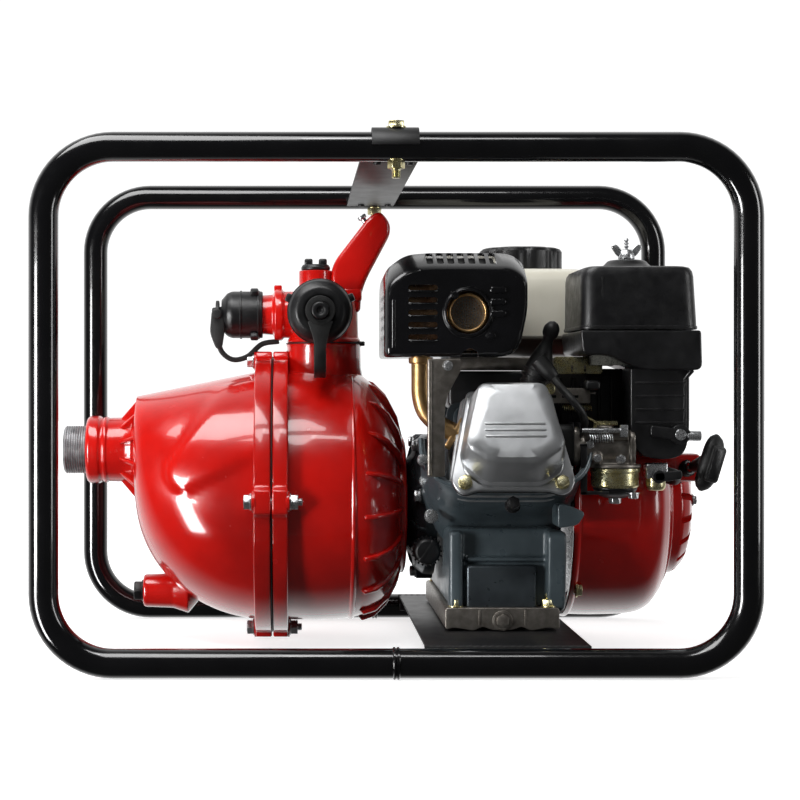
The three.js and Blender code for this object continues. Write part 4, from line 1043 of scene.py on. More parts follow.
def side_cover():
    """The crankcase's end cover, ribbed and bolted, with the oil filler neck."""
    inner = Span("bearing_drive_side")
    left, right = cover.x
    r = (cover.z[1] - cover.z[0]) / 2
    face = turned(eased([(left, 17), (left, 42), (left + 6, 50), (left + 9, 62), (left + 17, r - 1),
                         (right, r), (right, 27), (inner.x[0], 17)], 2, 3), SHAFT_LINE, X, 80,
                  closed=True)
    fins = [radial_rib([(left + 1, 40), (left + 5, 55), (left + 12, 67), (right - 2, 68), (right - 2, 40)],
                       TAU * (k + 0.5) / 10, shaft, 4) for k in range(10)]
    lugs, heads = [], []
    for k in range(7):
        at = round_line(right, shaft, 66, TAU * (k + 0.3) / 7)
        lugs.append(rod(at, X, -16, 0, 7.5, 24, 1.2))
        heads.append(hex_bolt(at - X * 16, -X, 4.5, 10, 13))
    cap = Span("oil_filler_cap")
    neck = rod((cap.middle.x, cap.y[1] - 4, cap.middle.z), Y, 0, 24, 12.5, 36, 1.5)
    piece("engine_side_cover", "dark_casting", STATIC, face, *fins, *lugs, neck,
          stands_for=["crankcase_cover"])
    piece("engine_side_bolts", "zinc", STATIC, *heads)


def oil_cap():
    cap = Span("oil_filler_cap")
    at = Vector((cap.middle.x, cap.y[0], cap.middle.z))
    r = (cap.x[1] - cap.x[0]) / 2
    lid = turned(eased([(0, 0), (0, r - 4), (3, r - 1.2), (12, r), (12, 0)], 1.5, 3, closed=False), at, Y, 48)
    bar = box((at.x - 3, at.x + 3), (at.y - 0.1, at.y + 8), (at.z - r + 1.5, at.z + r - 1.5), 1.6, 3)
    bar = place(bar, Matrix.Translation(at) @ Matrix.Rotation(0.6, 4, "Y") @ Matrix.Translation(-at))
    grips = []
    for x, z in circle(r - 0.2, 20):
        grips.append(rod((at.x + x, at.y, at.z + z), Y, 4, 11.4, 1, 8, 0.4))
    piece("oil_cap_seen", "black_plastic", "oil_cap_body", lid, bar, *grips,
          thread((at.x, at.y + 12, at.z), Y, 0, 9, 8, 2, 1), stands_for=["oil_filler_cap"])


def cylinder_head():
    parts = [tilted(slab(rounded((-40, 40), (-40, 38), 10), DECK, HEAD - 1, Z, 1))]
    for step in range(6):
        at = DECK + 1 + 5.4 * step
        parts.append(tilted(slab(fin_outline(-1 if step % 2 else 1), at, at + 2.2, Z, 0.7)))
    piece("head_casting", "silver_casting", STATIC, *parts, stands_for=["cylinder_head"])


COVER_SHIFT = 3  # the valve cover stands this far towards the starter side


def valve_cover():
    rim_half = [(38, 41), (49, -16), (54, -40), (55, -48), (50, -57), (42, -60), (33, -56)]
    rim = eased(mirrored(rim_half), 6, 4)
    plate = slab(rim, HEAD + 1, HEAD + 6, Z, 1.6, 3)
    lip = slab(eased(mirrored([(34, 36), (46, -24), (44, -40), (26, -53)]), 7, 4), HEAD + 5, HEAD + 9, Z,
               1.4, 3)
    stages = [[(34, 38), (48, -28), (26, -50)], [(33.5, 38), (47.5, -28), (25.5, -49)],
              [(30, 36), (45, -26), (22, -42)], [(29, 35), (44, -25.5), (21, -40)],
              [(26, 32.5), (41, -24), (19, -37.5)], [(18, 24), (33, -19), (14, -30)]]
    levels = [HEAD + 8, HEAD + 11, HEAD + 33, HEAD + 35.6, HEAD + 37.6, HEAD + 38]
    dome = loft([eased(mirrored(stage), 8, 6) for stage in stages], levels)
    bars = []
    for k in range(3):
        bars.append(slab(rounded((-27, 27), (-19 + 6 * k, -16.4 + 6 * k), 1.2), HEAD + 36, HEAD + 38.8, Z,
                         0.8))
    heads = [hex_bolt((side * 43, -49, HEAD + 6), Z, 5, 10, 13) for side in (-1, 1)]
    stud = hex_bolt((COVER_SHIFT, -64, HEAD - 12), Z, 8, 11, 14)
    for shape in (plate, lip, dome, *bars, *heads):
        moved(shape, x=COVER_SHIFT)
    pressing = [tilted(part) for part in (plate, lip, dome, *bars)]
    piece("valve_cover_pressing", "silver_casting", STATIC, *pressing, stands_for=["valve_cover"])
    piece("valve_cover_bolts", "yellow_zinc", STATIC, *[tilted(part) for part in heads])
    piece("head_stud", "black_plastic", STATIC, tilted(stud))
    seal = slab(eased(mirrored(rim_half), 6, 4), HEAD - 0.6, HEAD + 1.1, Z, 0.3)
    piece("valve_cover_gasket", "black_rubber", STATIC, tilted(moved(seal, x=COVER_SHIFT)))


def lower_shroud():
    """The pressed air shroud that wraps the underside of the cylinder."""
    back = slab(rounded((58, 150), (226, 262), 8), -44, 20, Y, 3, 3)
    bridge_strip = slab(rounded((60, 196), (262.5, 275), 3), -22, -18, Y, 1)
    piece("shroud_top", "black_plastic", STATIC, back)
    piece("tank_stay", "dull_steel", STATIC, bridge_strip)
    half = 74
    trough = [(-half, -2), (-half, -18), (-half + 8, -40), (-half + 30, -52), (half - 30, -52),
              (half - 8, -40), (half, -18), (half, -2)]
    outside = eased(trough, [0, 10, 18, 22, 22, 18, 10, 0], 8)
    inside = [(u * 0.955, v + 2.6) for u, v in reversed(outside)]
    inside[0] = (inside[0][0], -2)
    inside[-1] = (inside[-1][0], -2)
    section = outside + inside
    levels = [58, 70, 110, 150, 156, 160]
    swell = [0.86, 0.95, 1.0, 1.0, 1.02, 1.04]
    outlines = [[(u * s, v * (2 - s) - (1 - s) * 60) for u, v in section] for s in swell]
    shell = tilted(loft(outlines, levels))
    rim_path = [on_cylinder @ Vector((u * 1.04, v * 0.96 + 2.4, 160)) for u, v in outside]
    rim = sweep(rim_path, circle(2.2, 12))
    lip = slab(eased([(150, 142), (160, 141), (175, 134), (168, 123), (150, 120)], 4), -116, -78, Y, 3, 3)
    # The slate look carries painted light: the shroud's underside is lightened to stand for light bounced up from
    # below.
    piece("air_shroud", "slate_casting_with_painted_light", STATIC, shell, rim, lip)
    screws = [hex_bolt(at, -Y, 4, 10, 13) for at in ((40, -70, 128), (36, -60, 160))]
    piece("air_shroud_screws", "zinc", STATIC, *screws)


crankcase()
engine_foot()
side_cover()
oil_cap()
cylinder_head()
valve_cover()
lower_shroud()

# ---- fan cover and recoil starter ----------------------------------------------------------------
fan = Span("fan_cover")
recoil = Span("recoil_cover")


def fan_cover():
    left, right = fan.x
    r = (fan.z[1] - fan.z[0]) / 2
    outline = curve_through([(left, 0, r - 1), (left + 30, 0, r - 0.5), (right - 30, 0, r - 2),
                             (right - 14, 0, r - 8), (right - 4, 0, r - 20)], 6)
    outer = [(p.x, p.z) for p in outline] + [(right, r - 30), (right, 58)]
    inner = [(right - 4, 58), (right - 4, r - 28), (right - 10, r - 18), (right - 34, r - 5), (left, r - 5)]
    shell = turned(outer + inner, SHAFT_LINE, X, 128, closed=True)
    lip = turned(eased([(left - 2, r - 6), (left - 2, r + 1), (left + 2, r + 1.6), (left + 5, r - 0.6),
                        (left + 5, r - 6)], 1, 3), SHAFT_LINE, X, 128, closed=True)
    step = turned(eased([(right - 6, 60), (right - 6, 80), (right + 1.5, 78), (right + 3, 74),
                         (right + 3, 60)], 1, 3), SHAFT_LINE, X, 96, closed=True)
    air_guide = slab(eased([(-62, 150), (-84, 196), (-60, 236), (-10, 246), (20, 236), (20, 160)],
                           [4, 16, 20, 16, 4, 4], 6), left + 4, left + 52, X, 8, 4)
    piece("fan_housing", "red_enamel", STATIC, shell, lip, step, stands_for=["fan_cover"])
    baffle = slab(eased([(148, 204), (234, 204), (234, 252), (226, 264), (150, 264)], [3, 3, 8, 8, 3]),
                  -50, -44, Y, 2)
    ribs = [box((x, x + 3), (-53, -48), (208, 256), 1) for x in range(160, 230, 12)]
    room = rod(SHAFT_LINE, X, left - 5, right, r + 1, 96)
    piece("air_guide", "black_plastic", STATIC, cut(air_guide, room), baffle, *ribs)
    bolts = []
    for angle in (0.9, 2.3, 3.9, 5.3):
        bolts.append(hex_bolt(round_line(left + 3, shaft, r + 2, angle), X, 4.5, 10, 14))
    piece("fan_housing_bolts", "yellow_zinc", STATIC, *bolts)


def recoil_cover():
    left, right = recoil.x
    outer = eased([(left, 68), (left, 71), (right - 16, 67), (right - 7, 58), (right - 2, 44),
                   (right, 30), (right, 20), (right - 2, 18), (right - 2, 0)], 3, 4, closed=False)
    inner = [(right - 6, 0), (right - 6, 38), (right - 18, 62), (left, 66)]
    shell = turned(outer + inner + [(left, 68)], SHAFT_LINE, X, 112)
    slots = []
    for k in range(18):
        slot = box((right - 17, right + 6), (-3.2, 3.2), (46, 80), 1)
        slots.append(place(slot, Matrix.Translation(SHAFT_LINE) @ Matrix.Rotation(TAU * k / 18, 4, "X")))
    vented = cut(shell, merge(*slots))
    post = rod(SHAFT_LINE, X, right - 72, right - 5, 9, 32, 0.5)
    band = turned(eased([(left + 0.2, 66), (left + 0.2, 72.6), (left + 4, 72.6), (left + 5, 66)], 0.8, 3),
                  SHAFT_LINE, X, 112, closed=True)
    guide = box((left + 1, right - 6), (-58, -12), (159, 185), 5, 3)
    room = rod(SHAFT_LINE, X, left - 5, right - 6.5, 62, 64)
    piece("recoil_housing", "red_enamel", STATIC, vented, post, band, cut(guide, room),
          stands_for=["recoil_cover"])
    bolts = []
    for k in range(3):
        bolts.append(hex_bolt(round_line(right - 1, shaft, 36, TAU * (k + 0.42) / 3), X, 3, 8, 12))
    piece("recoil_bolts", "zinc", STATIC, *bolts)


pull = Vector(joints["starter_pull"]["axis"]).normalized()
grip = Span("starter_grip")
grip_at = Vector(grip.middle)


def starter():
    lean = Vector((0.29, 0, 0.96)).normalized()
    across = pull.cross(lean).normalized()
    out = lean.cross(across).normalized()
    turn = Matrix.Translation(grip_at + pull * 3) @ Matrix((across, -out, lean)).transposed().to_4x4()
    levels, outlines = [], []
    for k in range(17):
        t = -1 + k / 8
        levels.append(27 * t)
        swell = max(0.02, 1 - abs(t) ** 3.2) ** 0.5
        bow = 2.5 * (1 - t * t)
        outlines.append([(10.5 * swell * math.cos(a), -bow + 8.5 * swell * math.sin(a))
                         for a in (TAU * j / 28 for j in range(28))])
    bar = place(loft(outlines, levels), turn)
    outward = turn @ Matrix.Rotation(math.pi / 2, 4, "X")
    frame_panel = place(slab(rounded((-7.4, 7.4), (-17, 17), 4), 6, 11.6, Z, 1.2, 3), outward)
    panel = place(slab(rounded((-5.2, 5.2), (-14.5, 14.5), 3), 10, 12.3, Z, 0.8), outward)
    stem = turned(eased([(-20, 0), (-20, 5), (-12, 6.5), (-2, 8.5), (2, 0)], 1, 3, closed=False), grip_at,
                  pull, 28)
    piece("grip_handle", "black_rubber", "grip_body", bar, frame_panel, stem, stands_for=["starter_grip"])
    piece("grip_panel", "black_plastic", "grip_body", panel)
    exit_at = grip_at - pull * 26
    nozzle = turned(eased([(-16, 4), (-16, 12), (-4, 9), (2.5, 7.5), (2.5, 4)], 1.2, 3), exit_at, pull,
                    32, closed=True)
    piece("rope_guide", "black_plastic", STATIC, nozzle)
    start, end = exit_at - pull * 14, grip_at - pull * 8
    path = [start.lerp(end, k / 60) for k in range(61)]
    cord = sweep(path, circle(2.0, 14))
    made = piece("pull_cord", "rope", None, cord, stands_for=["starter_rope"])
    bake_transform(made)


def stop_switch():
    span = Span("stop_switch")
    at = Vector((span.x[0], span.middle.y, span.middle.z))
    knob = turned(eased([(0.2, 0), (0.2, 7), (7, 7), (8, 6), (8, 0)], 0.8, 3, closed=False), at, X, 40)
    wing = box((at.x + 7, at.x + 13), (at.y - 6.5, at.y + 6.5), (at.z - 2, at.z + 2), 1.2, 3)
    piece("engine_switch", "black_plastic", "stop_switch_body", knob, wing, stands_for=["stop_switch"])
    plate = box((at.x - 3, at.x - 0.2), (at.y - 13, at.y + 13), (at.z - 14, at.z + 14), 1)
    piece("engine_switch_plate", "black_plastic", STATIC, plate)


fan_cover()
recoil_cover()
starter()
stop_switch()

# ---- muffler, exhaust and stay -------------------------------------------------------------------
guard = Span("muffler_guard")
OUTLET_X = 68
OUTLET_Z = 313
GUARD_LOW = guard.z[1] - 82
GUARD_TOP = guard.z[1] + 12  # the sloped strip along the top rises above the flat front


def guard_outline(inset, drop=0):
    """The guard seen from the front, (X, Z), with its top edge lowered by drop."""
    left, right = guard.x[0] - 2, guard.x[1] + 4
    low, high = GUARD_LOW, GUARD_TOP - drop
    corners = [(left, low), (left + 4, low - 1), (right - 18, low), (right - 7, low + 8), (right, low + 40),
               (right, high - 11), (right - 13, high - 0.5), (right - 45, high), (left + 40, high),
               (left + 20, high - 2), (left + 2, high - 15), (left, high - 28)]
    middle_x, middle_z = (left + right) / 2, (low + high) / 2
    drawn = []
    for x, z in corners:
        drawn.append((x - math.copysign(min(inset, abs(x - middle_x)), x - middle_x),
                      z - math.copysign(min(inset, abs(z - middle_z)), z - middle_z)))
    return eased(drawn, [5, 5, 8, 8, 10, 7, 9, 6, 10, 8, 8, 10], 5)


def louvre(x, z):
    """A long louvre on the guard's face: the slot, and the lip pressed out below it."""
    y = guard.y[0]
    slot = slab(rounded(x, (z - 2.6, z + 2.6), 2.4), y - 4, y + 8, Y, 0)
    lip = sweep([(x[0] + 1, y + 0.4, z - 2.8), (x[0] + 2.5, y - 0.9, z - 3.2), (x[1] - 2.5, y - 0.9, z - 3.2),
                 (x[1] - 1, y + 0.4, z - 2.8)], circle(1.1, 12))
    return slot, lip


def dimple(x, z):
    """A small rounded swelling beside the outlet."""
    return slab(rounded(x, (z - 3.2, z + 3.2), 3), guard.y[0] - 3, guard.y[0] + 1, Y, 2.6, 5)


def muffler_guard():
    y = guard.y[0]
    depths = [guard.y[1], y + 30, y + 12, y + 6, y + 2.4, y + 0.4, y]
    insets = [0, 0, 0, 0.4, 1.6, 3.4, 5]
    drops = [3, 0, 9, 12, 13, 13, 13]
    outside = loft([guard_outline(i, d) for i, d in zip(insets, drops)], depths, Y)
    room = loft([guard_outline(2.5), guard_outline(2.5), guard_outline(3, 12)],
                [guard.y[1] + 5, y + 30, y + 5], Y)
    shell = cut(outside, room)
    centre = (OUTLET_X, 0, OUTLET_Z)
    shell = cut(shell, rod(centre, Y, y - 5, y + 20, 19.5, 48))
    slots = []
    for k in range(7):
        x = guard.x[0] + 36 + 9.4 * k
        slots.append(slab(rounded((x, x + 6), (y + 8, y + 30), 2), GUARD_TOP - 22, GUARD_TOP + 5, Z, 0))
    side_holes = []
    for row in range(5):
        for column in range(6):
            side_holes.append(rod((0, y + 14 + 11 * column, GUARD_LOW + 17 + 9 * row), X,
                                  guard.x[0] - 5, guard.x[0] + 12, 2.4, 12))
    notch = rod((OUTLET_X + 2, 0, GUARD_LOW - 1), Y, y - 4, y + 20, 8, 32)
    louvres = [louvre((guard.x[0] + 19, guard.x[0] + 45), OUTLET_Z + 22 - 11 * k) for k in range(5)]
    louvre_slots, lips = zip(*louvres)
    shell = cut(shell, merge(*slots), merge(*side_holes), merge(*louvre_slots), notch)
    collar = turned(eased([(y - 2.6, 19), (y - 2.6, 21), (y + 0.4, 23), (y + 3, 23), (y + 3, 19)], 1, 3),
                    centre, Y, 64, closed=True)
    dimples = [dimple((guard.x[1] - 31, guard.x[1] - 16), OUTLET_Z + 20 - 10.5 * k) for k in range(3)]
    fold = sweep([(guard.x[1] - 4, y + 2.4, guard.z[1] - 24), (guard.x[1] - 4, y + 2.4, GUARD_LOW + 40),
                  (guard.x[1] - 11, y + 2.4, GUARD_LOW + 9)], circle(1.8, 12))
    edge_fold = sweep([(guard.x[0] + 6, y + 2, guard.z[1] - 32), (guard.x[0] + 6, y + 2, GUARD_LOW + 8)],
                      circle(2.4, 12))
    screws = [hex_bolt((guard.x[0] + 60, y + 0.5, OUTLET_Z + 15.5), -Y, 2.6, 6, 8),
              hex_bolt((guard.x[1] - 30, y + 0.5, OUTLET_Z - 21), -Y, 2.6, 6, 8)]
    back = slab(guard_outline(5, 2), guard.y[1] - 5, guard.y[1] - 3, Y, 0.5)
    liner = slab([(y + 7, GUARD_TOP - 17), (y + 31, GUARD_TOP - 6), (y + 31, GUARD_TOP - 4.5),
                  (y + 7, GUARD_TOP - 15.5)], guard.x[0] + 25, guard.x[1] - 25, X, 0.4)
    piece("guard_back", "sheet_black", STATIC, back, liner)
    piece("exhaust_guard", "guard_black", STATIC, shell, collar, fold, edge_fold, *lips, *dimples, *screws,
          stands_for=["muffler_guard"])


def muffler():
    span = Span("muffler")
    face = guard.y[0] + 9
    body = slab(rounded((span.x[0] + 3, span.x[1]), (span.z[0], span.z[1] - 4), 24), guard.y[0] + 13,
                span.y[1], Y, 5, 4)
    seam = slab(rounded((span.x[0] + 1, span.x[1] + 2), (span.z[0] - 2, span.z[1] - 2), 26),
                span.middle.y - 1.5, span.middle.y + 1.5, Y, 1)
    centre = (OUTLET_X, 0, OUTLET_Z)
    ring = turned(eased([(face - 7, 15), (face - 7.5, 17), (face - 5, 18.4), (face + 8, 18.4),
                         (face + 8, 15)], 1.2, 3), centre, Y, 64, closed=True)
    disc = rod(centre, Y, face + 3, face + 6, 15.2, 48)
    holes = []
    for ring_number in range(1, 6):
        count = 6 * ring_number
        for k in range(count):
            a = TAU * (k + 0.5 * ring_number) / count
            hole_x = OUTLET_X + 2.6 * ring_number * math.cos(a)
            hole_z = OUTLET_Z + 2.6 * ring_number * math.sin(a)
            holes.append(rod((hole_x, 0, hole_z), Y, face, face + 9, 0.8, 8))
    disc = cut(disc, merge(*holes))
    hollow = rod(centre, Y, face - 9, face + 7, 15.4, 48)
    piece("muffler_shell", "heated_steel", STATIC, cut(body, hollow), seam, stands_for=["muffler"])
    piece("outlet_ring", "bronze", STATIC, ring)
    piece("spark_screen", "dull_steel", STATIC, disc)


def exhaust_pipe():
    start = Vector((29, -88, 277))
    port = Vector((60, -93, 205))
    path = curve_through([start, (29, -89, 256), (29.5, -90, 238), (34, -91, 224), (45, -92, 213), port], 8)
    tube = sweep(path, circle(8.6, 28))
    flare = rod(start - Z * 9, Z, 0, 9.5, 11, 32, 2)
    flange = slab(eased([(-16, -8), (16, -8), (16, 8), (-16, 8)], 5), -3, 3, Z, 1)
    flange = place(flange, Matrix.Translation(port) @ facing((0.85, -0.05, -0.5)))
    piece("exhaust_tube", "bronze", STATIC, tube, flare, flange, stands_for=["exhaust_pipe"])


def stay():
    y = (-131, -127.6)
    left = 32
    outline = eased([(left, 167), (left + 15.5, 167), (left + 15.5, 236), (left + 30, 262), (left + 30, 272),
                     (left, 272)], [2, 2, 12, 4, 2, 2], 4)
    bar = slab(outline, *y, Y, 0.9)
    rib = sweep([(left + 2, y[0] + 0.6, 169), (left + 2, y[0] + 0.6, 270)], circle(2.2, 12))
    bolt_low = hex_bolt((left - 4, y[1] + 2, 182), -Y, 4, 8, 10)
    bolt_high = hex_bolt((left + 18, y[0] + 0.4, 266), -Y, 3, 7, 9)
    boss = rod((left + 6, 0, 178), Y, y[1] - 0.5, -64, 9, 24, 1)
    piece("guard_stay", "dull_steel", STATIC, bar, rib)
    piece("guard_stay_bolts", "zinc", STATIC, bolt_low, bolt_high)
    piece("guard_stay_boss", "dark_casting", STATIC, boss)


muffler_guard()
muffler()
exhaust_pipe()
stay()

# ---- fuel tank -----------------------------------------------------------------------------------
tank = Span("fuel_tank")
fuel_cap = Span("fuel_cap")
TANK_SEAM = 295  # the height of the seam between the tank's shell and its pan


def tank_outline(inset, radius):
    return rounded((tank.x[0] + inset, tank.x[1] - inset), (tank.y[0] + inset, tank.y[1] - inset), radius, 8)


def fuel_tank():
    rim_z = TANK_SEAM
    levels = [rim_z, rim_z + 4, rim_z + 40, rim_z + 55, rim_z + 62, 361.5, 363]
    shrink = [2.5, 1.5, 2, 4, 8, 15, 26]
    top = loft([tank_outline(inset, 26 - inset * 0.2) for inset in shrink], levels)
    seam = slab(tank_outline(0, 27), rim_z - 2.4, rim_z + 1.4, Z, 1.1, 3)
    filler = (fuel_cap.middle.x, fuel_cap.middle.y, 0)
    neck = pipe(filler, Z, 360, fuel_cap.z[0] - 0.4, 20, 30, 64, 1.5)
    lip = turned(eased([(361, 30), (364.5, 37), (365.6, 33), (365.6, 28), (361, 28)], 1, 3),
                 filler, Z, 72, closed=True)
    piece("tank_shell", "cream_enamel", STATIC, top, neck, lip, stands_for=["fuel_tank"])
    pan = loft([tank_outline(inset, 20) for inset in (2, 5, 15, 22)], [rim_z - 2, rim_z - 8, 279, 277.5])
    # The pan's dark olive is painted shade under the tank.
    piece("tank_pan", "olive_painted_shade", STATIC, seam, pan)
    brackets = [box((x, x + 12), (tank.y[0] - 1.5, tank.y[0] + 12), (286, 294), 1) for x in (66, 176)]
    piece("tank_brackets", "black_plastic", STATIC, *brackets)


def fuel_filler_cap():
    r = (fuel_cap.x[1] - fuel_cap.x[0]) / 2
    centre = (fuel_cap.middle.x, fuel_cap.middle.y, 0)
    low, high = fuel_cap.z[0], fuel_cap.z[1] + 6

    def lobed(radius, depth):
        """A round outline with eight finger grooves."""
        points = []
        for k in range(192):
            a = TAU * k / 192
            away = radius - depth * (0.5 + 0.5 * math.cos(8 * a)) ** 3
            points.append((centre[0] + away * math.cos(a), centre[1] + away * math.sin(a)))
        return points

    lid = loft([lobed(r - 2, 3), lobed(r - 0.4, 4), lobed(r - 0.4, 4), lobed(r - 2.4, 4), lobed(r - 6, 2)],
               [low, low + 1.6, high - 4, high - 1.2, high])
    ring = pipe(centre, Z, high - 1, high + 0.8, 20, 24, 64, 0.6)
    inner = rod(centre, Z, high - 1, high + 0.3, 15, 48, 0.4)
    piece("filler_cap", "black_plastic", "fuel_cap_body", lid, ring, inner, stands_for=["fuel_cap"])


fuel_tank()
fuel_filler_cap()

# ---- air cleaner ---------------------------------------------------------------------------------
cleaner = Span("air_cleaner_cover")
case = Span("air_cleaner_case")
wing = Span("air_cleaner_wing_nut")


def cleaner_outline(grow_left, grow_right, radius):
    return rounded((cleaner.x[0] - grow_left, cleaner.x[1] + grow_right),
                   (cleaner.y[0] - grow_right * 0.5, cleaner.y[1] + 1), radius, 7)


def cleaner_cover():
    low, high = cleaner.z[0], 356
    stages = [(0.8, 2.6, low), (0.4, 2.2, low + 10), (0, 0, high - 9), (-1, -1, high - 4.5),
              (-3.5, -3.5, high - 1.2), (-8, -8, high)]
    shell = loft([cleaner_outline(a, b, 13 + min(a, 0) * 0.2) for a, b, _ in stages], [s[2] for s in stages])
    band = slab(cleaner_outline(1.6, 3.4, 13.5), low + 0.2, low + 3.2, Z, 0.7)
    hub = (wing.middle.x, wing.middle.y, 0)
    pad = turned(eased([(high - 3, 0), (high - 3, 27), (high + 1.5, 25), (high + 4, 21), (high + 8.7, 17),
                        (high + 9, 0)], 3, 4, closed=False), hub, Z, 48)
    seam = box((cleaner.x[0] + 17, cleaner.x[0] + 18.4), (cleaner.y[0] - 0.6, cleaner.y[0] + 3),
               (low + 4, high - 10), 0.5)
    piece("cleaner_lid", "black_plastic", "cleaner_cover_body", shell, band, pad, seam,
          stands_for=["air_cleaner_cover"])


def cleaner_case():
    x = (case.x[0], cleaner.x[1] + 5.5)
    y = (case.y[0], case.y[1])
    front = [(x[0] + 3, cleaner.z[0] - 1), (x[1] - 1, cleaner.z[0] - 1), (x[1], 262), (x[0] + 62, 262),
             (x[0] + 44, 268), (x[0] + 30, 276), (x[0] + 5, 276)]
    band = slab(eased(front, [3, 3, 7, 14, 10, 10, 6], 5), y[0], y[1], Y, 6, 4)
    hood = [(217, 264), (270, 264), (270, 205), (266, 186), (250, 181), (226, 184), (217, 200)]
    duct = slab(eased(hood, [2, 2, 10, 16, 16, 12, 12], 5), y[0] + 6, -62, Y, 5, 4)
    groove = []
    for level in (250, 238, 226, 214):
        groove.append(box((221, 266), (y[0] + 5, y[0] + 8), (level, level + 1.6), 0.5))
    rib = sweep([(x[1] - 9, y[0] + 3, 262), (266, y[0] + 8, 254), (266, y[0] + 8, 205)], circle(2.4, 12))
    clip = box((x[1] - 4, x[1] + 1.2), (y[0] + 30, y[0] + 46), (266, 292), 1.4)
    piece("cleaner_case", "black_plastic", STATIC, band, duct, rib, clip, *groove,
          stands_for=["air_cleaner_case"])
    stud = thread((wing.middle.x, wing.middle.y, 0), Z, 262, wing.z[1] + 5, 2.4, 3, 1.2)
    piece("cleaner_stud", "zinc", STATIC, stud)


def wing_nut():
    at = Vector((wing.middle.x, wing.middle.y, wing.z[0]))
    hub = turned(eased([(0, 3.2), (0, 8), (5, 7), (9, 5), (9, 3.2)], 1, 3), at, Z, 32, closed=True)
    lobes = []
    for side in (-1, 1):
        outline = eased([(at.x + side * 4, at.z + 1), (at.x + side * 9, at.z + 3),
                         (at.x + side * 15, at.z + 12), (at.x + side * 10, at.z + 14.4),
                         (at.x + side * 4, at.z + 8)], 3.2, 5)
        lobes.append(slab(outline, at.y - 2, at.y + 2, Y, 1, 3))
    piece("wing_nut_seen", "zinc", "wing_nut_body", hub, *lobes, stands_for=["air_cleaner_wing_nut"])


cleaner_cover()
cleaner_case()
wing_nut()

# ---- carburettor, its levers and the small engine parts ------------------------------------------
CARB_Y = -93
BOWL = Vector((205, CARB_Y, 0))
CHOKE_AT = Vector((261, -107, 204))
TAP_AT = Vector((242, -103, 166))
THROTTLE_AT = Vector((185, -50, 246))


def coil(start, length, turns, radius, wire):
    """A spring that runs along X from the start."""
    steps = 12 * turns
    path = []
    for k in range(steps + 1):
        angle = TAU * k / 12
        path.append((start[0] + length * k / steps, start[1] + radius * math.cos(angle),
                     start[2] + radius * math.sin(angle)))
    return sweep(path, circle(wire, 8))


def carburettor():
    y = CARB_Y
    throat = rod((0, y, 191), X, 168, 222, 15, 40, 1.5)
    flange = slab(rounded((y - 14, y + 22), (176, 211), 7), 166, 171, X, 1)
    end = slab(rounded((y - 17, y + 17), (175, 208), 9), 216, 221, X, 1)
    saddle = box((180, 217), (y - 12, y + 12), (174, 190), 3, 3)
    choke_boss = rod((0, y - 13, 203), X, 176, 214, 4.6, 24, 1)
    top = rod((196, y, 0), Z, 196, 212, 8, 28, 1.5)
    jet = rod((186, y - 10, 183), -Y, 0, 9, 5, 20, 1)
    bowl_flange = pipe(BOWL, Z, 173.5, 177, 8, 23.5, 48, 0.8)
    whole = cast(merge(throat, flange, end, saddle, choke_boss, top, jet, bowl_flange), 0.9, 2)
    # The body's dark dull_steel look is partly its own dull metal and partly painted shade, since it sits in shade
    # under the tank.
    piece("carburettor_body", "dull_steel", STATIC, whole, stands_for=["carburettor"])
    bowl = turned(eased([(174, 21.5), (157, 21.5), (155, 19), (155, 0)], 1.5, 4, closed=False), BOWL, Z, 56)
    # The bowl's lower dome is a separate black piece: painted shade on the underside of the zinc float bowl.
    dome = turned(eased([(156, 20), (154, 20), (149, 16), (146, 8), (145.6, 0)], 3, 5, closed=False),
                  BOWL, Z, 48)
    piece("bowl_bottom", "black_plastic", STATIC, dome)
    crimp = pipe(BOWL, Z, 169, 173.6, 12, 22.6, 56, 1.2)
    cup = turned(eased([(168, 9), (156, 9), (153, 7), (152.6, 0)], 1.5, 3, closed=False),
                 (TAP_AT.x, y, 0), Z, 36)
    piece("float_bowl", "yellow_zinc", STATIC, bowl, crimp, cup)
    tap_body = box((TAP_AT.x - 10, TAP_AT.x + 10), (y - 8, y + 8), (164, 178), 2, 3)
    route = [(TAP_AT.x + 8, y, 171), (TAP_AT.x + 19, y + 3, 168), (TAP_AT.x + 21, y + 22, 160),
             (TAP_AT.x + 5, y + 44, 168), (TAP_AT.x - 20, y + 60, 190)]
    piece("tap_block", "zinc", STATIC, tap_body)
    piece("fuel_hose", "black_rubber", STATIC, sweep(curve_through(route, 8), circle(3.6, 14)))
    insulator = slab(rounded((-103, -71), (177, 213), 6), 150, 166, X, 1)
    gaskets = [slab(rounded((-105, -69), (175, 215), 6), x, x + 0.9, X, 0.2) for x in (165.6, 171.2, 221.2)]
    piece("carb_insulator", "black_rubber", STATIC, insulator, *gaskets)
    rods = [rod((0, y - 20, 208), X, 172, 208, 2.2, 16, 0.6),
            box((206, 213), (y - 23, y - 17), (202, 213), 1)]
    spring = coil((178, y - 20, 201), 22, 10, 3.6, 0.55)
    heads = [hex_bolt((180, y - 11, 195), -Y, 3, 7, 9), hex_bolt((208, y - 12, 182), -Y, 3, 7, 9),
             hex_bolt((BOWL.x + 14, BOWL.y - 15, 152), -Z, 4, 8, 10),
             hex_bolt((BOWL.x, BOWL.y, 148.6), -Z, 6, 10, 14), rod((186, y - 18, 183), -Y, 0, 3, 3.6, 16,
                                                                   0.8)]
    piece("carb_fixings", "zinc", STATIC, *rods, spring, *heads)
    bracket = [box((171, 177), (-112, -109.6), (150, 196), 0.8),
               box((171, 177), (-112, -96), (193, 196), 0.8),
               box((171, 196), (-112, -109.6), (150, 153.5), 0.8)]
    piece("carb_bracket", "black_plastic", STATIC, *bracket)


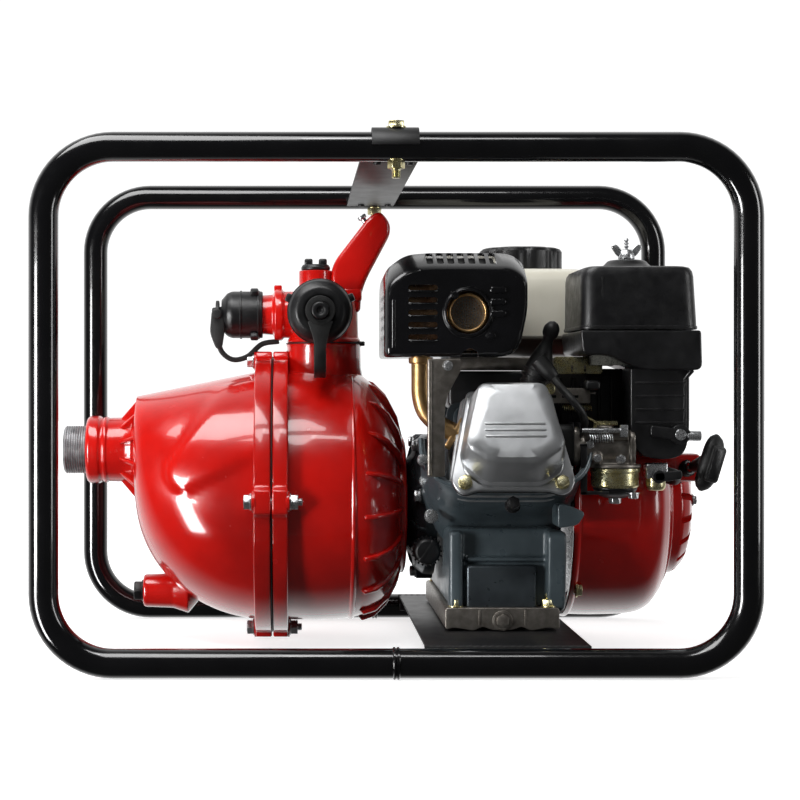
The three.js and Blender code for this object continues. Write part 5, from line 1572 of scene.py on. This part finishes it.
def levers():
    at = CHOKE_AT
    disc = rod(at, -Y, -3, 4, 9, 32, 1)
    arm = slab(eased([(at.x + 2, at.z - 5), (at.x + 2, at.z + 5), (at.x - 14, at.z + 7),
                      (at.x - 27, at.z + 8.5), (at.x - 27, at.z - 1.5), (at.x - 12, at.z - 4)], 3),
               at.y - 4.6, at.y - 0.8, Y, 1.2, 3)
    piece("choke_handle", "black_plastic", "choke_body", disc, arm, stands_for=["choke_lever"])
    piece("choke_spindle", "zinc", STATIC, rod(at, -Y, 3.6, 5.4, 5, 24, 0.6),
          rod((0, at.y, at.z - 1), X, at.x + 6, at.x + 19, 4.6, 24, 1.2))
    at = TAP_AT
    boss = rod(at, -Y, -1, 6, 6, 28, 1)
    arm = slab(eased([(at.x - 4, at.z - 4), (at.x - 4, at.z + 4), (at.x + 12, at.z + 5),
                      (at.x + 21, at.z + 6), (at.x + 21, at.z - 2), (at.x + 8, at.z - 4)], 3), at.y - 6,
               at.y - 2.5, Y, 1, 3)
    piece("fuel_tap_handle", "black_plastic", "fuel_tap_body", boss, arm, stands_for=["fuel_tap_lever"])
    span = Span("throttle_lever")
    at = THROTTLE_AT
    plate = slab(eased([(at.x - 5, at.y + 5), (at.x + 5, at.y + 5), (at.x + 4, span.y[0] + 10),
                        (at.x - 4, span.y[0] + 10)], 3), at.z + 0.4, at.z + 2.6, Z, 0.5)
    knob = box((at.x - 7, at.x + 7), (span.y[0], span.y[0] + 16), (at.z - 2, at.z + 7), 3, 4)
    piece("throttle_handle", "black_plastic", "throttle_body", plate, knob, stands_for=["throttle_lever"])


def control_plate():
    """The governor and throttle plate between the tank and the carburettor."""
    z = THROTTLE_AT.z
    plate = slab(eased([(142, -84), (184, -84), (192, -72), (192, -28), (142, -28)], 4), z - 5.5, z - 3.4,
                 Z, 0.6)
    front = slab(eased([(142, z - 14), (142, z + 6), (152, z + 6), (152, z), (176, z), (184, z - 2),
                        (184, z - 14)], 2), -86, -83.6, Y, 0.7)
    slots = [box((148 + 10 * k, 153 + 10 * k), (-90, -80), (z - 9, z - 6.6), 0) for k in range(3)]
    upper = slab(eased([(154, 259), (199, 259), (199, 270), (192, 275), (154, 275)], 3), -62, -60, Y, 0.6)
    marks = [box((170 + 12 * k, 172 + 12 * k), (-66, -56), (261, 267), 0) for k in range(2)]
    piece("control_plate", "dull_steel", STATIC, plate, cut(front, merge(*slots)))
    piece("throttle_quadrant", "yellow_zinc", STATIC, cut(upper, merge(*marks)))
    link = sweep(curve_through([(166, -88, z - 9), (170, -90, z - 20), (190, -92, z - 32),
                                (196, -92, z - 33)], 6), circle(1.1, 10))
    spring = coil((160, -80, z - 18), 26, 14, 2.6, 0.5)
    screws = [hex_bolt((147, -86, z - 1), -Y, 3, 8, 10), hex_bolt((150, -70, z - 3.4), Z, 2.4, 8, 10)]
    piece("control_links", "yellow_zinc", STATIC, link, spring, *screws)
    rest = box((150, 158), (-30, -20), (z - 60, z - 4), 2)
    arm = sweep(curve_through([(150, -40, z - 8), (146, -56, z - 30), (150, -60, z - 60)], 6),
                circle(1.6, 12))
    piece("governor_arm", "zinc", STATIC, rest, arm)
    piece("cable_clip", "yellow_zinc", STATIC, box((186, 208), (-92, -90.2), (212, 216), 0.6),
          box((186, 189), (-92, -90.2), (200, 216), 0.6))


def spark_plug_cap():
    at = Vector((128, -76, 235.3))
    along = Vector((0.3, -0.15, 0.94)).normalized()
    profile = [(8, 0), (8, 9), (13, 12), (32, 12), (44, 9), (55, 5), (60, 5), (63, 7.4), (70, 7.4),
               (75, 4), (76, 0)]
    boot = turned(eased(profile, 2.5, 4, closed=False), at, along, 40)
    ribs = [turned(eased([(a, 8), (a, 13), (a + 2.4, 13), (a + 2.4, 8)], 1, 3), at, along, 36, closed=True)
            for a in (15, 21, 27)]
    socket_at = at + along * 36 + Vector((-1, -10, 0))
    outward = Vector((0.62, -0.18, -0.76)).normalized()
    socket = turned(eased([(-4, 0), (-4, 8), (12, 7), (19, 5.4), (19, 0)], 1.2, 3, closed=False), socket_at,
                    outward, 28)
    piece("plug_cap", "black_rubber", STATIC, boot, *ribs, socket, stands_for=["spark_plug_cap"])
    path = curve_through([socket_at + outward * 16, (154, -103, 247), (162, -115, 236), (172, -114, 223),
                          (176, -100, 212), (173, -74, 204), (170, -52, 200)], 8)
    piece("ignition_lead", "black_rubber", STATIC, sweep(path, circle(3.6, 16)))


carburettor()
levers()
control_plate()
spark_plug_cap()


# ---- camera, light and floor ---------------------------------------------------------------------
CAMERA_AT = Vector((-0.0879, -1.747, 0.2457))
LENS = 81.95
SHIFT = {"shift_x": 0.1345, "shift_y": -0.0146}  # the view is aimed square on and cropped to one side


def add_camera():
    data = bpy.data.cameras.new("camera")
    data.lens = LENS
    camera = bpy.data.objects.new("camera", data)
    camera.location = CAMERA_AT
    camera.rotation_euler = (math.pi / 2, 0, 0)
    bpy.context.scene.collection.objects.link(camera)
    bpy.context.scene.camera = camera
    # The shift holds only while the camera stands at its own place, and is gone for any other view.
    for name, amount in SHIFT.items():
        driver = data.driver_add(name).driver
        driver.type = "SCRIPTED"
        for axis, letter in enumerate("xyz"):
            variable = driver.variables.new()
            variable.name = letter
            variable.targets[0].id = camera
            variable.targets[0].data_path = f"location[{axis}]"
        away = " + ".join(f"abs({letter} - {home:.4f})" for letter, home in zip("xyz", CAMERA_AT))
        driver.expression = f"{amount} if {away} < 0.001 else 0.0"


def add_softbox(name, at, aim, width, height, power):
    data = bpy.data.lights.new(name, "AREA")
    data.shape = "RECTANGLE"
    data.size = width
    data.size_y = height
    data.energy = power
    lamp = bpy.data.objects.new(name, data)
    lamp.location = at
    lamp.rotation_euler = (Vector(aim) - Vector(at)).to_track_quat("-Z", "Y").to_euler()
    bpy.context.scene.collection.objects.link(lamp)


def add_room():
    """White behind the object, dim in front of it, and plain white to the camera."""
    world = bpy.data.worlds.new("room")
    bpy.context.scene.world = world
    world.use_nodes = True
    tree = world.node_tree
    tree.nodes.clear()
    add = tree.nodes.new
    direction = add("ShaderNodeSeparateXYZ")
    tree.links.new(add("ShaderNodeTexCoord").outputs["Generated"], direction.inputs[0])
    depth = add("ShaderNodeMapRange")
    tree.links.new(direction.outputs["Y"], depth.inputs[0])
    for index, number in enumerate((0.05, 0.65, 0.05, 1.1), start=1):
        depth.inputs[index].default_value = number
    seen = add("ShaderNodeMath")
    seen.operation = "MAXIMUM"
    tree.links.new(depth.outputs[0], seen.inputs[0])
    tree.links.new(add("ShaderNodeLightPath").outputs["Is Camera Ray"], seen.inputs[1])
    background = add("ShaderNodeBackground")
    background.inputs["Color"].default_value = (1, 1, 1, 1)
    tree.links.new(seen.outputs[0], background.inputs["Strength"])
    tree.links.new(background.outputs[0], add("ShaderNodeOutputWorld").inputs[0])


def add_floor():
    """A pale floor with a soft contact shadow; to the camera it also glows, painted light that grows from dim near
    the object to white far off.
    """
    shape = bmesh.new()
    reach = 12
    gap = 0.0005  # keeps the floor just clear of the frame's feet
    corners = [(-reach, -reach), (reach, -reach), (reach, reach), (-reach, reach)]
    shape.faces.new([shape.verts.new((x, y, -gap)) for x, y in corners])
    mesh = bpy.data.meshes.new("floor")
    shape.to_mesh(mesh)
    shape.free()
    floor = bpy.data.objects.new("floor", mesh)
    bpy.context.scene.collection.objects.link(floor)
    r = Recipe("floor")
    surface = r.add("ShaderNodeBsdfDiffuse", Color=(0.8, 0.8, 0.8, 1)).outputs[0]
    away = r.add("ShaderNodeVectorMath", {"operation": "LENGTH"})
    r.feed(away.inputs[0], r.place)
    # Painted light: the floor's glow, seen only by the camera, is weaker near the object and brighter far off
    # where the lamps don't reach.
    fade = r.ramp(away.outputs["Value"], 0.35, 1.1, 0.72, 1.1)
    painted_glow = r.add("ShaderNodeEmission", Color=(1, 1, 1, 1), Strength=fade).outputs[0]
    both = r.add("ShaderNodeAddShader")
    r.feed(both.inputs[0], surface)
    r.feed(both.inputs[1], painted_glow)
    dim = r.add("ShaderNodeBsdfDiffuse", Color=(0.12, 0.12, 0.12, 1)).outputs[0]
    choice = r.add("ShaderNodeMixShader")
    r.feed(choice.inputs[0], r.add("ShaderNodeLightPath").outputs["Is Camera Ray"])
    r.feed(choice.inputs[1], dim)
    r.feed(choice.inputs[2], both.outputs[0])
    output = r.add("ShaderNodeOutputMaterial")
    r.tree.links.new(choice.outputs[0], output.inputs["Surface"])
    mesh.materials.append(r.material)
    floor.visible_glossy = False


add_camera()
add_room()
add_floor()
CENTRE = (0, 0, 0.22)
add_softbox("overhead", (-0.45, -0.5, 1.35), CENTRE, 1.1, 0.6, 16)
add_softbox("left_strip", (-1.1, -0.8, 0.2), (-0.18, 0, 0.15), 0.34, 0.46, 13)
add_softbox("low_strip", (-1.08, -0.72, -0.19), (-0.18, 0, 0.13), 0.24, 0.7, 14)
add_softbox("high_front", (0.12, -0.85, 1.45), (0.1, -0.15, 0.2), 0.4, 0.2, 2.2)
add_softbox("right_strip", (1.35, -0.6, 0.45), CENTRE, 0.25, 0.9, 5)
bpy.context.scene.view_settings.view_transform = "Standard"
